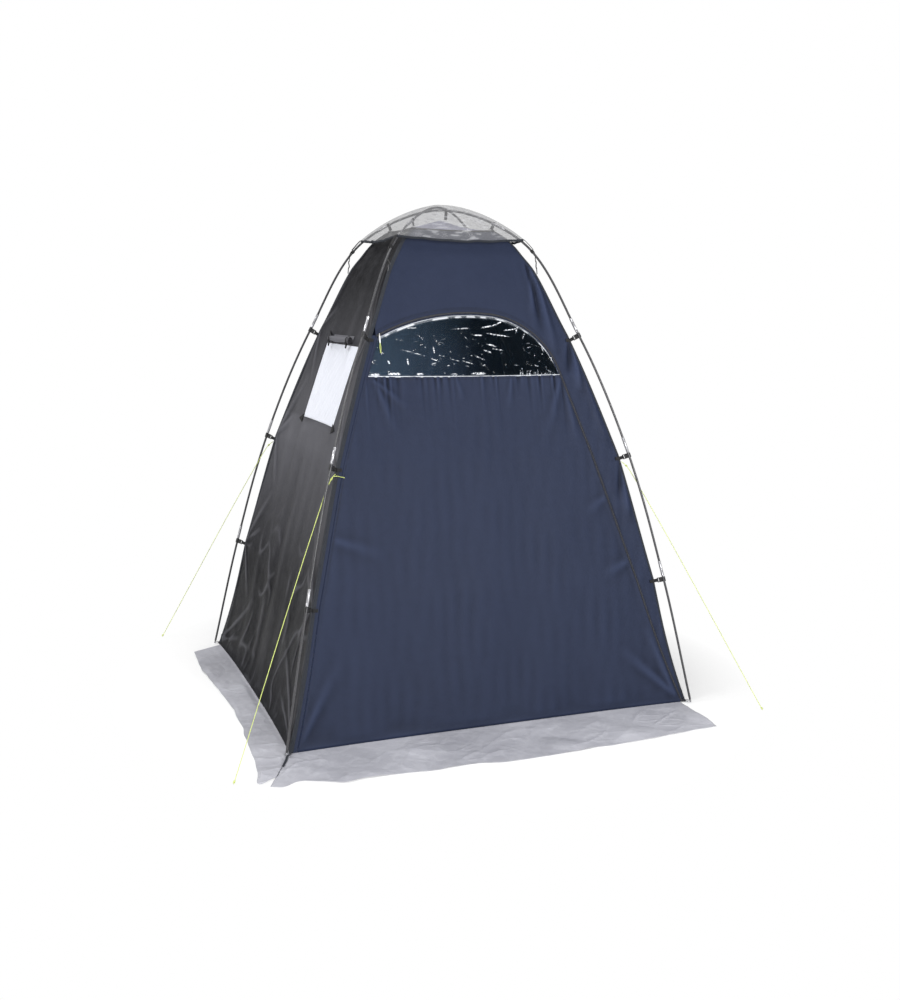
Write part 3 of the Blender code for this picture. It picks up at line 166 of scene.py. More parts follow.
def stacked(*parts: Array) -> Array:
    """Return arrays spread to one shape and stacked on a last axis."""
    return np.stack(np.broadcast_arrays(*parts), axis=-1)


def circle(radius: float, angle: Array, one: Array, two: Array) -> Array:
    """Return radius times (cosine along one plus sine along two) at angles."""
    return radius * (np.cos(angle)[:, None] * one + np.sin(angle)[:, None] * two)


def ramp(value: Array, low: float, high: float) -> Array:
    """Return 0 below low, 1 above high and a smooth step between."""
    t = np.clip((value - low) / (high - low), 0.0, 1.0)
    return t * t * (3.0 - 2.0 * t)


def ripple(a: Array, b: Array, length_a: float, length_b: float, seed: int) -> Array:
    """Return a smooth random field of about unit size.

    It is a sum of cosine waves of random direction, length and phase, stretched
    by length_a along a and by length_b along b.

    Args:
        a: First coordinate, in metres.
        b: Second coordinate, in metres.
        length_a: Typical wave length along a.
        length_b: Typical wave length along b.
        seed: Number that picks the waves.

    Returns:
        The field, shaped as a and b.
    """
    draw = np.random.default_rng(seed)
    turn = draw.uniform(0.0, FULL_TURN, WAVES)
    rate = draw.uniform(0.55, 1.5, WAVES)
    phase = draw.uniform(0.0, FULL_TURN, WAVES)
    field_sum = np.zeros(np.broadcast(a, b).shape)
    for t, r, p in zip(turn, rate, phase):
        field_sum += np.cos(FULL_TURN * r * (math.cos(t) * a / length_a + math.sin(t) * b / length_b) + p)
    return field_sum * math.sqrt(2.0 / WAVES) * 0.7


def creases(a: Array, b: Array, length_a: float, length_b: float, seed: int) -> Array:
    """Return sharp ridges between 0 and 1: the cube of one minus the size of a random field."""
    return (1.0 - np.clip(np.abs(ripple(a, b, length_a, length_b, seed)), 0.0, 1.0)) ** 3


@dataclass(frozen=True)
class Fold:
    """One pulled fold of the cloth, from a start to an end in the wall's own plane."""

    start: tuple[float, float]
    end: tuple[float, float]
    width: float
    height: float

    def field(self, a: Array, b: Array) -> Array:
        """Return the fold's height over a and b.

        It is a bell across the fold, times a hump along it that dies away at
        the far end.
        """
        run = np.array(self.end) - np.array(self.start)
        length = float(np.hypot(*run))
        along = ((a - self.start[0]) * run[0] + (b - self.start[1]) * run[1]) / length ** 2
        across = ((a - self.start[0]) * run[1] - (b - self.start[1]) * run[0]) / length
        shape = np.clip(along, 0.0, 1.0)
        fade = np.sqrt(shape) * (1.0 - shape) * 2.2
        width = self.width * (0.45 + 0.9 * shape)
        return self.height * np.exp(-((across / width) ** 2)) * fade * (along > 0.0) * (along < 1.0)


def fold_sum(rows: Rows, a: Array, b: Array) -> Array:
    """Return the summed height of folds, each a row of start, end, width and height."""
    return sum(Fold(row[:2], row[2:4], *row[4:]).field(a, b) for row in rows)


# The tent's measured shape

@dataclass(frozen=True)
class TentShape:
    """Sizes of the tent and the surfaces that its cloth lies on, as in the solids."""

    crown: float = 2.05
    half_width: float = 0.872
    half_depth: float = 0.754
    reach_shares: tuple[float, ...] = (1.0, 0.881, 0.7356, 0.5382, 0.3067, 0.0)
    height_shares: tuple[float, ...] = (0.0, 0.2555, 0.5075, 0.745, 0.9365, 1.0)
    rod: float = 0.0047
    ferrule: float = 0.006
    ferrule_length: float = 0.065
    cross_gap: float = 0.005
    pole_bottom: float = 0.014
    end_section: float = 0.588
    sections: int = 9
    standoff: float = 0.042
    cloth: float = 0.0012
    seam: float = 0.0004
    foot: float = 0.003
    top: float = 1.955
    dip: float = 0.006
    knee: float = 1.8
    ease_from: float = 1.84
    top_ease: float = 0.032
    sag: float = 0.022
    scallop: float = 0.006
    foot_pull: float = 0.022
    foot_rise: float = 0.4
    bar: float = 0.0262
    hook_length: float = 0.02
    hook_clear: float = 0.003

    @property
    def diagonal(self) -> float:
        """Return the level distance from the middle to a pole's foot."""
        return math.hypot(self.half_width, self.half_depth)

    @property
    def side_share(self) -> float:
        """Return how much of a diagonal step goes along X."""
        return self.half_width / self.diagonal

    @property
    def front_share(self) -> float:
        """Return how much of a diagonal step goes along Y."""
        return self.half_depth / self.diagonal

    @property
    def root(self) -> float:
        """Return how far in from the pole a tie meets the seam on the walls' edge."""
        return self.standoff - (self.cloth + self.seam) * math.sqrt(2.0) - self.seam

    def away(self, corner: Corner) -> Array:
        """Return the level unit vector from the middle toward a corner."""
        return np.array([corner.value[0] * self.side_share, corner.value[1] * self.front_share, 0.0])


SHAPE = TentShape()


class PoleCurve:
    """A pole's centre line in its own upright plane, measured along its arc."""

    def __init__(self, crown: float) -> None:
        """Work out the line of a pole whose middle lies at the height crown."""
        heights = [SHAPE.crown * share for share in SHAPE.height_shares[:-1]] + [crown]
        leg = [(SHAPE.diagonal * r, z) for r, z in zip(SHAPE.reach_shares, heights)]
        self.points = smooth_curve(np.array(leg + [(-d, z) for d, z in leg[-2::-1]]), 60)
        self.arc = arc_lengths(self.points)
        self.length = float(self.arc[-1])

    def at(self, where: Array) -> Array:
        """Return (reach, height) at arc lengths."""
        return np.stack([np.interp(where, self.arc, self.points[:, i]) for i in (0, 1)], axis=-1)

    def tangent(self, where: Array) -> Array:
        """Return the unit direction of travel at arc lengths."""
        step = self.length / len(self.arc)
        ahead = self.at(np.minimum(where + step, self.length)) - self.at(np.maximum(where - step, 0.0))
        return ahead / np.linalg.norm(ahead, axis=-1, keepdims=True)

    def breaks(self) -> Array:
        """Return the arc lengths where the pole's sections meet."""
        start = SHAPE.pole_bottom / float(self.tangent(0.0)[1])
        inner = np.linspace(SHAPE.end_section, self.length - SHAPE.end_section, SHAPE.sections - 1)
        return np.concatenate([[start], inner, [self.length - start]])

    def space(self, corner: Corner, where: Array) -> Array:
        """Return the points in space of a pole that starts in a corner."""
        flat = self.at(where)
        return flat[..., :1] * SHAPE.away(corner) + flat[..., 1:] * UP


LEG = PoleCurve(SHAPE.crown)
POLE_A = PoleCurve(SHAPE.crown + SHAPE.cross_gap)
POLE_B = PoleCurve(SHAPE.crown - SHAPE.cross_gap)


def own_pole(corner: Corner) -> PoleCurve:
    """Return the curve of the pole that stands in a corner."""
    return POLE_A if corner.value[0] * corner.value[1] > 0 else POLE_B


def hook_arc(number: int) -> float:
    """Return the arc length from the foot to a pole hook, just below a ferrule."""
    drop = 0.5 * (SHAPE.ferrule_length + SHAPE.hook_length) + SHAPE.hook_clear
    return float(LEG.breaks()[number]) - drop


def leg_frame(corner: Corner, arc: float, curve: PoleCurve = LEG) -> tuple[Array, Array]:
    """Return the frame of a leg at an arc length.

    Args:
        corner: The leg's corner.
        arc: Distance up the pole from its foot.
        curve: The pole's curve.

    Returns:
        The point on the pole, and three rows: inward, level, along the pole.
    """
    reach, height = curve.at(arc)
    run, rise = curve.tangent(arc)
    away = SHAPE.away(corner)
    up = away * run + UP * rise
    inward = UP * run - away * rise
    side = np.cross(up, inward)
    return away * reach + UP * height, np.stack([inward, side, up])


class ClothShape:
    """The curves and surfaces of the stretched cloth."""

    def __init__(self) -> None:
        """Work out the cloth's corner line and the distances up the front cloth."""
        half = len(LEG.arc) // 2
        along = directions(LEG.points)[:half]
        edge = LEG.points[:half] + SHAPE.standoff * np.stack([-along[:, 1], along[:, 0]], axis=1)
        keep = edge[:, 1] < SHAPE.top + 0.02
        self._height, self._reach = edge[keep, 1], edge[keep, 0]
        hooks = [float(leg_frame(Corner.FRONT_LEFT, hook_arc(n))[0][2]) for n in DOWN_ORDER]
        self.pins = np.array([0.0, *hooks, SHAPE.knee, SHAPE.top])
        self.rows = np.linspace(0.0, SHAPE.top, 400)
        self.run = self.reach(self.rows) * SHAPE.front_share
        self.slant = np.concatenate([[0.0], np.cumsum(np.hypot(np.diff(self.rows), np.diff(self.run)))])
        self.foot = float(self.up(SHAPE.foot))

    def reach(self, height: Array) -> Array:
        """Return the corner's reach along the diagonal at heights.

        The line is drawn in a little between the hooks, as a parabola in each gap.
        """
        plain = np.interp(height, self._height, self._reach) + SHAPE.top_ease * ramp(height, SHAPE.ease_from, SHAPE.top)
        gap = np.clip(np.searchsorted(self.pins, height, side="right") - 1, 0, len(self.pins) - 2)
        low, high = self.pins[gap], self.pins[gap + 1]
        t = np.clip((height - low) / (high - low), 0.0, 1.0)
        return plain - SHAPE.scallop * 4.0 * t * (1.0 - t) * np.minimum(1.0, (high - low) / 0.4)

    def flare(self, height: Array, share: Array) -> Array:
        """Return how far the pegged corners pull the cloth's foot outward along the diagonal.

        It is whole at a corner of the ground, falls with the cube of the share
        of the half width and is gone a forearm's length up.
        """
        return SHAPE.foot_pull * np.abs(share) ** 3 * (1.0 - np.clip(height / SHAPE.foot_rise, 0.0, 1.0)) ** 2

    def top_height(self, share: Array) -> Array:
        """Return the height of a wall's hollow top edge at shares of its half width."""
        return SHAPE.top - SHAPE.dip * (1.0 - np.asarray(share) ** 2)

    def height(self, slant: Array) -> Array:
        """Return the height at a distance up the front cloth."""
        return np.interp(slant, self.slant, self.rows)

    def up(self, height: Array) -> Array:
        """Return the distance up the front cloth at a height."""
        return np.interp(height, self.rows, self.slant)

    def half(self, slant: Array) -> Array:
        """Return the front cloth's half width at a distance up the cloth."""
        return self.reach(self.height(slant)) * SHAPE.side_share

    def front(self, across: Array, slant: Array, out: Array, facing: Facing = Facing.FRONT) -> Array:
        """Return points of the front or back wall.

        The cloth follows the corner line up and hangs in by the sag times one
        minus the square of its share of the half width, times the sine of its
        share of the height.

        Args:
            across: Place along X.
            slant: Distance up the cloth.
            out: Distance out of the cloth.
            facing: Which of the two walls.

        Returns:
            The points, one more axis than across.
        """
        across, slant, out = np.broadcast_arrays(across, slant, out)
        height = self.height(slant)
        run = np.interp(slant, self.slant, self.run)
        lean = np.interp(slant, self.slant, np.gradient(self.run, self.slant))
        rise = np.sqrt(1.0 - lean ** 2)
        share = np.clip(across / self.half(slant), -1.0, 1.0)
        hang = SHAPE.sag * (1.0 - share ** 2) * np.sin(math.pi * np.clip(slant / self.slant[-1], 0.0, 1.0))
        lift = out - hang
        pull = self.flare(height, share)
        x = across + np.sign(across) * pull * SHAPE.side_share
        y = facing.value * (run + lift * rise + pull * SHAPE.front_share)
        return np.stack([x, y, height - lift * lean], axis=-1)

    def side(self, side: int, along: Array, height: Array, out: Array) -> Array:
        """Return points of a side wall at places along Y and heights.

        Args:
            side: -1 for the window wall, 1 for the other.
            along: Place along Y.
            height: Height over the ground.
            out: Distance out of the cloth.

        Returns:
            The points, one more axis than along.
        """
        along, height, out = np.broadcast_arrays(along, height, out)
        reach = self.reach(height)
        share = np.clip(along / (reach * SHAPE.front_share), -1.0, 1.0)
        rise = np.clip(height / SHAPE.top, 0.0, 1.0)
        hang = SHAPE.sag * (1.0 - share ** 2) * np.sin(math.pi * rise)
        pull = self.flare(height, share)
        x = side * (reach * SHAPE.side_share + out - hang + pull * SHAPE.side_share)
        y = along + np.sign(along) * pull * SHAPE.front_share
        return np.stack([x, y, height], axis=-1)


CLOTH = ClothShape()


# Mesh makers

def linked(name: str, data: bpy.types.ID) -> bpy.types.Object:
    """Return a new object that holds data, linked to the scene."""
    made = bpy.data.objects.new(name, data)
    bpy.context.scene.collection.objects.link(made)
    return made


def grid_mesh(name: str, points: Array, uv: Array, keep: Array | None = None, wrap: bool = False,
              flip: bool = False, marks: dict[str, Array] | None = None) -> bpy.types.Object:
    """Return an object whose mesh is a grid of quads.

    Args:
        name: The object's name.
        points: Points on a grid, rows by columns by three.
        uv: Map coordinates on the same grid, in metres.
        keep: Which quads stay, one row and column less than points.
        wrap: True closes the last column on the first.
        flip: True turns the faces over.
        marks: Named values for each point.

    Returns:
        The new object, linked and smooth.
    """
    rows, columns = points.shape[:2]
    index = np.arange(rows * columns).reshape(rows, columns)
    left, right = (index, np.roll(index, -1, axis=1)) if wrap else (index[:, :-1], index[:, 1:])
    quads = np.stack([left[:-1], right[:-1], right[1:], left[1:]], axis=-1)
    quads = quads[keep] if keep is not None else quads.reshape(-1, 4)
    if flip:
        quads = quads[:, ::-1]
    used, quads = np.unique(quads, return_inverse=True)
    quads = quads.reshape(-1, 4)
    mesh = bpy.data.meshes.new(name)
    mesh.from_pydata(points.reshape(-1, 3)[used], [], quads)
    layer = mesh.uv_layers.new(name="UVMap")
    layer.data.foreach_set("uv", uv.reshape(-1, 2)[used][quads.ravel()].astype(np.float32).ravel())
    for key, values in (marks or {}).items():
        mark = mesh.attributes.new(key, "FLOAT", "POINT")
        mark.data.foreach_set("value", values.reshape(-1)[used].astype(np.float32))
    mesh.shade_smooth()
    mesh.update()
    return linked(name, mesh)


# The cloth finishes paint shade into the folds and highlights onto the ridges from this value.
def relief(rise: Array, scale: float) -> Array:
    """Return how far each point stands over its neighbours, from -1 in a fold to 1 on a ridge.

    It is the rise less its own mean over a few cells each way, over scale.
    """
    soft = rise.astype(float)
    for _ in range(4):
        wide = np.pad(soft, 2, mode="edge")
        across, down = wide[2:-2], wide[:, 2:-2]
        soft = (down[:-4] + down[4:] + across[:, :-4] + across[:, 4:] + across[:, 2:-2]) / 5.0
    return np.clip((rise - soft) / scale, -1.0, 1.0)


def frames_along(points: Array, first: Array) -> tuple[Array, Array]:
    """Return two unit vectors square to a line at each of its points.

    Each vector is the one before it with the part along the line taken out.

    Args:
        points: The line, one row each.
        first: A direction that the first vector is made from.

    Returns:
        The two vectors, one row each.
    """
    along = directions(points)
    one = np.empty_like(points)
    vector = np.asarray(first, float)
    for i, t in enumerate(along):
        vector = vector - t * float(vector @ t)
        vector = vector / np.linalg.norm(vector)
        one[i] = vector
    return one, np.cross(along, one)


def tube(name: str, points: Array, radii: Array | float, sides: int = 16, first: Point = (0.0, 0.0, 1.0),
         oval: float = 1.0, closed: bool = False) -> bpy.types.Object:
    """Return a tube along a line, with round ends drawn in to a point.

    Each ring is the line's point plus the radius times the cosine along one
    square direction and the sine, times oval, along the other.

    Args:
        name: The object's name.
        points: The line.
        radii: One radius, or one for each point.
        sides: Points round the tube.
        first: A direction square to the line's start.
        oval: Height over width of the section.
        closed: True joins the last ring to the first.

    Returns:
        The new object.
    """
    radii = np.broadcast_to(np.asarray(radii, float), (len(points),))
    base = resample(points, len(points)) if closed else points
    one, two = frames_along(base, np.array(first))
    if not closed:
        ends = np.concatenate([[0], np.arange(len(points)), [len(points) - 1]])
        points, one, two = points[ends], one[ends], two[ends]
        radii = np.concatenate([[1e-6], radii, [1e-6]])
    turns = np.linspace(0.0, FULL_TURN, sides, endpoint=False)[None, :, None]
    grid = points[:, None] + radii[:, None, None] * (np.cos(turns) * one[:, None] + oval * np.sin(turns) * two[:, None])
    if closed:
        grid = np.concatenate([grid, grid[:1]], axis=0)
        points = np.vstack([points, points[:1]])
    uv = stacked(np.arange(sides)[None, :] / sides, arc_lengths(points)[:, None])
    made = grid_mesh(name, grid, uv, wrap=True)
    weld(made)
    return made


def weld(piece: bpy.types.Object) -> None:
    """Merge a piece's doubled points and turn its faces outward."""
    work = bmesh.new()
    work.from_mesh(piece.data)
    bmesh.ops.remove_doubles(work, verts=work.verts, dist=2e-5)
    bmesh.ops.dissolve_degenerate(work, edges=work.edges, dist=1e-6)
    bmesh.ops.recalc_face_normals(work, faces=work.faces)
    work.to_mesh(piece.data)
    work.free()
    piece.data.shade_smooth()


def strap(name: str, points: Array, width: float, thickness: float, across: Array) -> bpy.types.Object:
    """Return a flat webbing strap along a line.

    The section is a flat oval: width across, thickness out.

    Args:
        name: The object's name.
        points: The strap's middle line.
        width: Its width.
        thickness: Its thickness.
        across: The direction of its width, one row or one for each point.

    Returns:
        The new object.
    """
    across = np.broadcast_to(np.asarray(across, float), points.shape)
    along = directions(points)
    wide = across - along * np.sum(across * along, axis=1)[:, None]
    wide /= np.linalg.norm(wide, axis=1)[:, None]
    out = np.cross(along, wide)
    turns = np.linspace(0.0, FULL_TURN, 16, endpoint=False)
    x = 0.5 * width * np.sign(np.cos(turns)) * np.abs(np.cos(turns)) ** 0.35
    y = 0.5 * thickness * np.sign(np.sin(turns)) * np.abs(np.sin(turns)) ** 0.6
    ends = np.concatenate([[0], np.arange(len(points)), [len(points) - 1]])
    size = np.ones(len(ends))
    size[0] = size[-1] = 1e-3
    grid = points[ends, None] + size[:, None, None] * (x[None, :, None] * wide[ends, None]
                                                       + y[None, :, None] * out[ends, None])
    made = grid_mesh(name, grid, stacked(x[None, :], arc_lengths(points)[ends][:, None]), wrap=True)
    weld(made)
    return made


def thicken(piece: bpy.types.Object, thickness: float, offset: float = -1.0) -> bpy.types.Object:
    """Give a sheet its thickness with a Solidify modifier and return it."""
    step = piece.modifiers.new("thickness", "SOLIDIFY")
    step.thickness = thickness
    step.offset = offset
    step.use_even_offset = False
    step.use_quality_normals = True
    return piece


def softened(node: str, name: str, width: float, segments: int = 2) -> bpy.types.Object:
    """Return a copy of a solid with its edges rounded, as a moulding has them."""
    source = frame["nodes"][node]
    mesh = source.data.copy()
    mesh.transform(source.matrix_world)
    made = linked(name, mesh)
    work = bmesh.new()
    work.from_mesh(mesh)
    bmesh.ops.remove_doubles(work, verts=work.verts, dist=1e-5)
    bmesh.ops.dissolve_limit(work, angle_limit=math.radians(1.0), verts=work.verts, edges=work.edges)
    bmesh.ops.recalc_face_normals(work, faces=work.faces)
    work.to_mesh(mesh)
    work.free()
    mesh.materials.clear()
    bevel = made.modifiers.new("edges", "BEVEL")
    bevel.width = width
    bevel.segments = segments
    bevel.limit_method = "ANGLE"
    bevel.angle_limit = math.radians(28.0)
    bevel.harden_normals = False
    mesh.shade_smooth()
    return made


def joined(name: str, pieces: list[bpy.types.Object]) -> bpy.types.Object:
    """Return one object that holds the meshes of several."""
    work = bmesh.new()
    for piece in pieces:
        work.from_mesh(piece.data)
    mesh = bpy.data.meshes.new(name)
    work.to_mesh(mesh)
    work.free()
    for piece in pieces:
        old = piece.data
        bpy.data.objects.remove(piece, do_unlink=True)
        bpy.data.meshes.remove(old)
    mesh.shade_smooth()
    return linked(name, mesh)


# Materials

Socket = bpy.types.NodeSocket


def toned(colour: Point, share: float, more: float = 0.0) -> Point:
    """Return a colour times a share and a little more, no lighter than white."""
    return tuple(min(1.0, share * c + more) for c in colour)


def band_rate(pitch: float) -> float:
    """Return the scale of bands that come once in a pitch."""
    return 0.5 / (pitch * 3.1416)


class Shader:
    """A builder of one material around its Principled shader."""

    def __init__(self, name: str) -> None:
        """Start an empty material called name."""
        self.material = bpy.data.materials.new(name)
        self.material.use_nodes = True
        self.tree = self.material.node_tree
        self.surface = self.tree.nodes["Principled BSDF"]

    def node(self, kind: str, **inputs: object) -> bpy.types.Node:
        """Return a new node with some of its inputs set or linked."""
        made = self.tree.nodes.new(kind)
        for key, value in inputs.items():
            self.feed(made.inputs[key.replace("_", " ")], value)
        return made

    def feed(self, socket: Socket, value: object) -> None:
        """Set a socket to a value, or link it where the value is an output."""
        if isinstance(value, Socket):
            self.tree.links.new(value, socket)
        else:
            socket.default_value = value

    def place(self, kind: str = "Object", scale: Point = (1.0, 1.0, 1.0)) -> Socket:
        """Return coordinates of a kind, stretched by scale."""
        source = self.node("ShaderNodeTexCoord").outputs[kind]
        return self.node("ShaderNodeMapping", Vector=source, Scale=scale).outputs["Vector"]

    def part(self, place: Socket, axis: str) -> Socket:
        """Return a place's distance along one axis."""
        return self.node("ShaderNodeSeparateXYZ", Vector=place).outputs[axis]

    def mark(self, name: str) -> Socket:
        """Return a named value of the piece's own points."""
        made = self.node("ShaderNodeAttribute")
        made.attribute_name = name
        return made.outputs["Fac"]

    def noise(self, place: Socket, scale: float, detail: float = 4.0, rough: float = 0.55) -> Socket:
        """Return a noise value over a place."""
        return self.node("ShaderNodeTexNoise", Vector=place, Scale=scale, Detail=detail,
                         Roughness=rough).outputs["Fac"]

    def bands(self, place: Socket, scale: float, axis: str = "X") -> Socket:
        """Return even bands across an axis of a place."""
        made = self.node("ShaderNodeTexWave", Vector=place, Scale=scale)
        made.bands_direction = axis
        return made.outputs["Fac"]

    def sum(self, kind: str, one: object, two: object) -> Socket:
        """Return a sum, product or other arithmetic of two values."""
        made = self.tree.nodes.new("ShaderNodeMath")
        made.operation = kind
        self.feed(made.inputs[0], one)
        self.feed(made.inputs[1], two)
        return made.outputs[0]

    def between(self, value: object, low: float, high: float, out_low: float = 0.0,
                out_high: float = 1.0) -> Socket:
        """Return a value mapped from one range to another, clamped."""
        made = self.node("ShaderNodeMapRange", Value=value)
        for key, number in zip(("From Min", "From Max", "To Min", "To Max"), (low, high, out_low, out_high)):
            made.inputs[key].default_value = number
        return made.outputs["Result"]

    def blend(self, factor: object, one: object, two: object) -> Socket:
        """Return a mix of two colours."""
        made = self.tree.nodes.new("ShaderNodeMix")
        made.data_type = "RGBA"
        self.feed(made.inputs["Factor"], factor)
        for key, value in (("A", one), ("B", two)):
            socket = [s for s in made.inputs if s.name == key and s.type == "RGBA"][0]
            self.feed(socket, value if isinstance(value, Socket) else (*value, 1.0))
        return [s for s in made.outputs if s.type == "RGBA"][0]

    def bump(self, height: Socket, distance: float, strength: float = 1.0,
             under: Socket | None = None) -> Socket:
        """Return a normal raised by a height, over the normal under it."""
        made = self.node("ShaderNodeBump", Height=height, Distance=distance, Strength=strength)
        if under is not None:
            self.feed(made.inputs["Normal"], under)
        return made.outputs["Normal"]

    def done(self, **sockets: object) -> bpy.types.Material:
        """Feed the shader's sockets and return the material."""
        for key, value in sockets.items():
            self.feed(self.surface.inputs[key.replace("_", " ")], value)
        return self.material


@dataclass(frozen=True)
class ClothFinish:
    """Coated woven cloth with a fine weave, small crinkles and a stitched edge."""

    name: str
    colour: Point
    other: Point
    rough: float = 0.58
    crinkle: float = 0.0016
    lower: Point | None = None
    painted_shade: Point | None = None
    split: float = 1.16
    gloss: float = 0.1

    def make(self) -> bpy.types.Material:
        """Return the material: two close tones, a plain weave, a thread along the edge, painted shade in the folds and
        painted highlights on the ridges, and, where a lower colour is given, painted shade toward the foot and the top.
        """
        s = Shader(self.name)
        here = s.place()
        tone = s.noise(here, 2.3, 5.0, 0.6)
        colour = s.blend(s.between(tone, 0.3, 0.7), self.colour, self.other)
        if self.lower:
            level = s.part(here, "Z")
            step = s.between(level, self.split - 0.004, self.split + 0.004, 1.0, 0.0)
            below = s.blend(s.between(tone, 0.3, 0.7), self.lower, self.other)
            # Painted shade: the colour darkens toward the foot below the seam and toward the top above it.
            below = s.blend(s.between(level, 1.05, 0.45), below, self.painted_shade)
            colour = s.blend(s.between(level, 1.25, 1.75), colour, self.painted_shade)
            colour = s.blend(step, colour, below)
        cloth = s.place("UV")
        weft, warp = s.bands(cloth, 230.0, "X"), s.bands(cloth, 230.0, "Y")
        weave = s.sum("MULTIPLY", weft, warp)
        fine = s.noise(here, 34.0, 6.0, 0.62)
        thread, relief = s.mark("stitch"), s.mark("relief")
        # Painted shade in the folds and painted highlights on the ridges, driven by the relief mark.
        colour = s.blend(s.between(relief, 0.0, -1.0, 0.0, 0.72), colour, toned(self.colour, 0.25))
        colour = s.blend(s.between(relief, 0.0, 1.0, 0.0, 0.5), colour, toned(self.colour, 2.1))
        colour = s.blend(s.sum("MULTIPLY", thread, 0.55), colour, (0.01, 0.01, 0.012))
        colour = s.blend(s.between(fine, 0.35, 0.75, 0.0, 0.16), colour, toned(self.colour, 1.5))
        rough = s.between(tone, 0.25, 0.75, self.rough - 0.07, self.rough + 0.07)
        normal = s.bump(weave, 0.00006, under=s.bump(fine, self.crinkle))
        return s.done(Base_Color=colour, Roughness=rough, Normal=normal, Specular_IOR_Level=self.gloss)


@dataclass(frozen=True)
class FilmFinish:
    """Clear or milky plastic film, with painted highlights that stand in for glints on its crinkles."""

    name: str
    colour: Point
    alpha: float
    rough: float
    painted_glint: float = 0.0
    crinkle: float = 0.0012
    painted_light_left: float = 0.0

    def make(self) -> bpy.types.Material:
        """Return the material: a thin see-through skin, whiter and duller where painted highlights stand in for glints,
        and, where given, cloudier toward its left where painted light stands in for the lit wall seen through it.
        """
        s = Shader(self.name)
        here = s.place()
        fine = s.noise(here, 26.0, 5.0, 0.6)
        # Painted highlights: the marks whiten the film and make it opaque where glints of light would be.
        white = s.sum("MULTIPLY", s.mark("painted_glint"), self.painted_glint)
        colour = s.blend(white, self.colour, (0.93, 0.95, 1.0))
        haze_and_painted_light = s.between(fine, 0.3, 0.75, self.alpha * 0.94, self.alpha * 1.04)
        # Painted light: the film grows cloudier in its own bluish colour toward its left, standing in for the lit wall
        # seen through it.
        haze_and_painted_light = s.sum("ADD", haze_and_painted_light, s.between(s.part(s.place("UV"), "X"), -0.46, 0.02, self.painted_light_left, 0.0))
        alpha = s.sum("MINIMUM", s.sum("ADD", haze_and_painted_light, s.sum("MULTIPLY", white, 0.9)), 1.0)
        rough = s.between(fine, 0.3, 0.7, self.rough * 0.8, self.rough * 1.2)
        s.material.blend_method = "BLEND"
        return s.done(Base_Color=colour, Alpha=alpha, Roughness=rough, Normal=s.bump(fine, self.crinkle),
                      Specular_IOR_Level=0.5)


@dataclass(frozen=True)
class NetFinish:
    """Fine knitted net that lets light through its holes."""

    name: str
    colour: Point
    pitch: float = 0.0024
    cover: float = 0.55

    def make(self) -> bpy.types.Material:
        """Return the material: two sets of threads on the cloth's own map, open between them."""
        s = Shader(self.name)
        cloth = s.place("UV")
        rate = band_rate(self.pitch)
        threads = s.sum("MAXIMUM", s.bands(cloth, rate, "X"), s.bands(cloth, rate, "Y"))
        open_share = s.between(threads, 0.55, 0.85, self.cover * 0.55, 1.0)
        tone = s.noise(s.place(), 3.0, 3.0)
        colour = s.blend(tone, self.colour, toned(self.colour, 0.85))
        s.material.blend_method = "BLEND"
        return s.done(Base_Color=colour, Alpha=open_share, Roughness=0.8, Normal=s.bump(threads, 0.0003),
                      Specular_IOR_Level=0.25)


@dataclass(frozen=True)
class SheetingFinish:
    """Rumpled pale plastic sheeting of the ground flaps."""

    name: str
    colour: Point
    other: Point

    def make(self) -> bpy.types.Material:
        """Return the material: soft blotches, hard little creases and dust along the ground."""
        s = Shader(self.name)
        here = s.place()
        tone = s.noise(here, 2.6, 4.0, 0.55)
        fold = s.noise(here, 9.0, 6.0, 0.55)
        ridge = s.between(s.sum("ABSOLUTE", s.sum("SUBTRACT", fold, 0.5), 0.0), 0.0, 0.06)
        colour = s.blend(s.between(tone, 0.3, 0.7), self.colour, self.other)
        colour = s.blend(s.between(ridge, 0.0, 1.0, 0.1, 0.0), colour, (0.75, 0.76, 0.8))
        dust = s.noise(here, 60.0, 3.0, 0.7)
        colour = s.blend(s.between(dust, 0.66, 0.8, 0.0, 0.1), colour, (0.36, 0.35, 0.35))
        normal = s.bump(ridge, 0.0005, 0.6, s.bump(fold, 0.0012))
        return s.done(Base_Color=colour, Roughness=s.between(tone, 0.3, 0.7, 0.4, 0.55), Normal=normal,
                      Specular_IOR_Level=0.4)


@dataclass(frozen=True)
class WebbingFinish:
    """Woven tape or webbing with a herringbone of small ribs."""

    name: str
    colour: Point
    rib: float = 0.0011

    def make(self) -> bpy.types.Material:
        """Return the material: slanting ribs along the tape and a pale worn nap."""
        s = Shader(self.name)
        tape = s.place("UV")
        ribs = s.bands(tape, 0.16 / self.rib, "DIAGONAL")
        cross = s.bands(tape, 0.16 / self.rib, "Y")
        nap = s.noise(s.place(), 220.0, 4.0, 0.7)
        colour = s.blend(s.between(nap, 0.4, 0.8, 0.0, 0.5), self.colour, toned(self.colour, 1.9, 0.01))
        colour = s.blend(s.between(ribs, 0.0, 1.0, 0.25, 0.0), colour, toned(self.colour, 0.5))
        normal = s.bump(s.sum("ADD", ribs, cross), 0.00022, 1.0, s.bump(nap, 0.0002))
        return s.done(Base_Color=colour, Roughness=0.82, Normal=normal, Specular_IOR_Level=0.25)


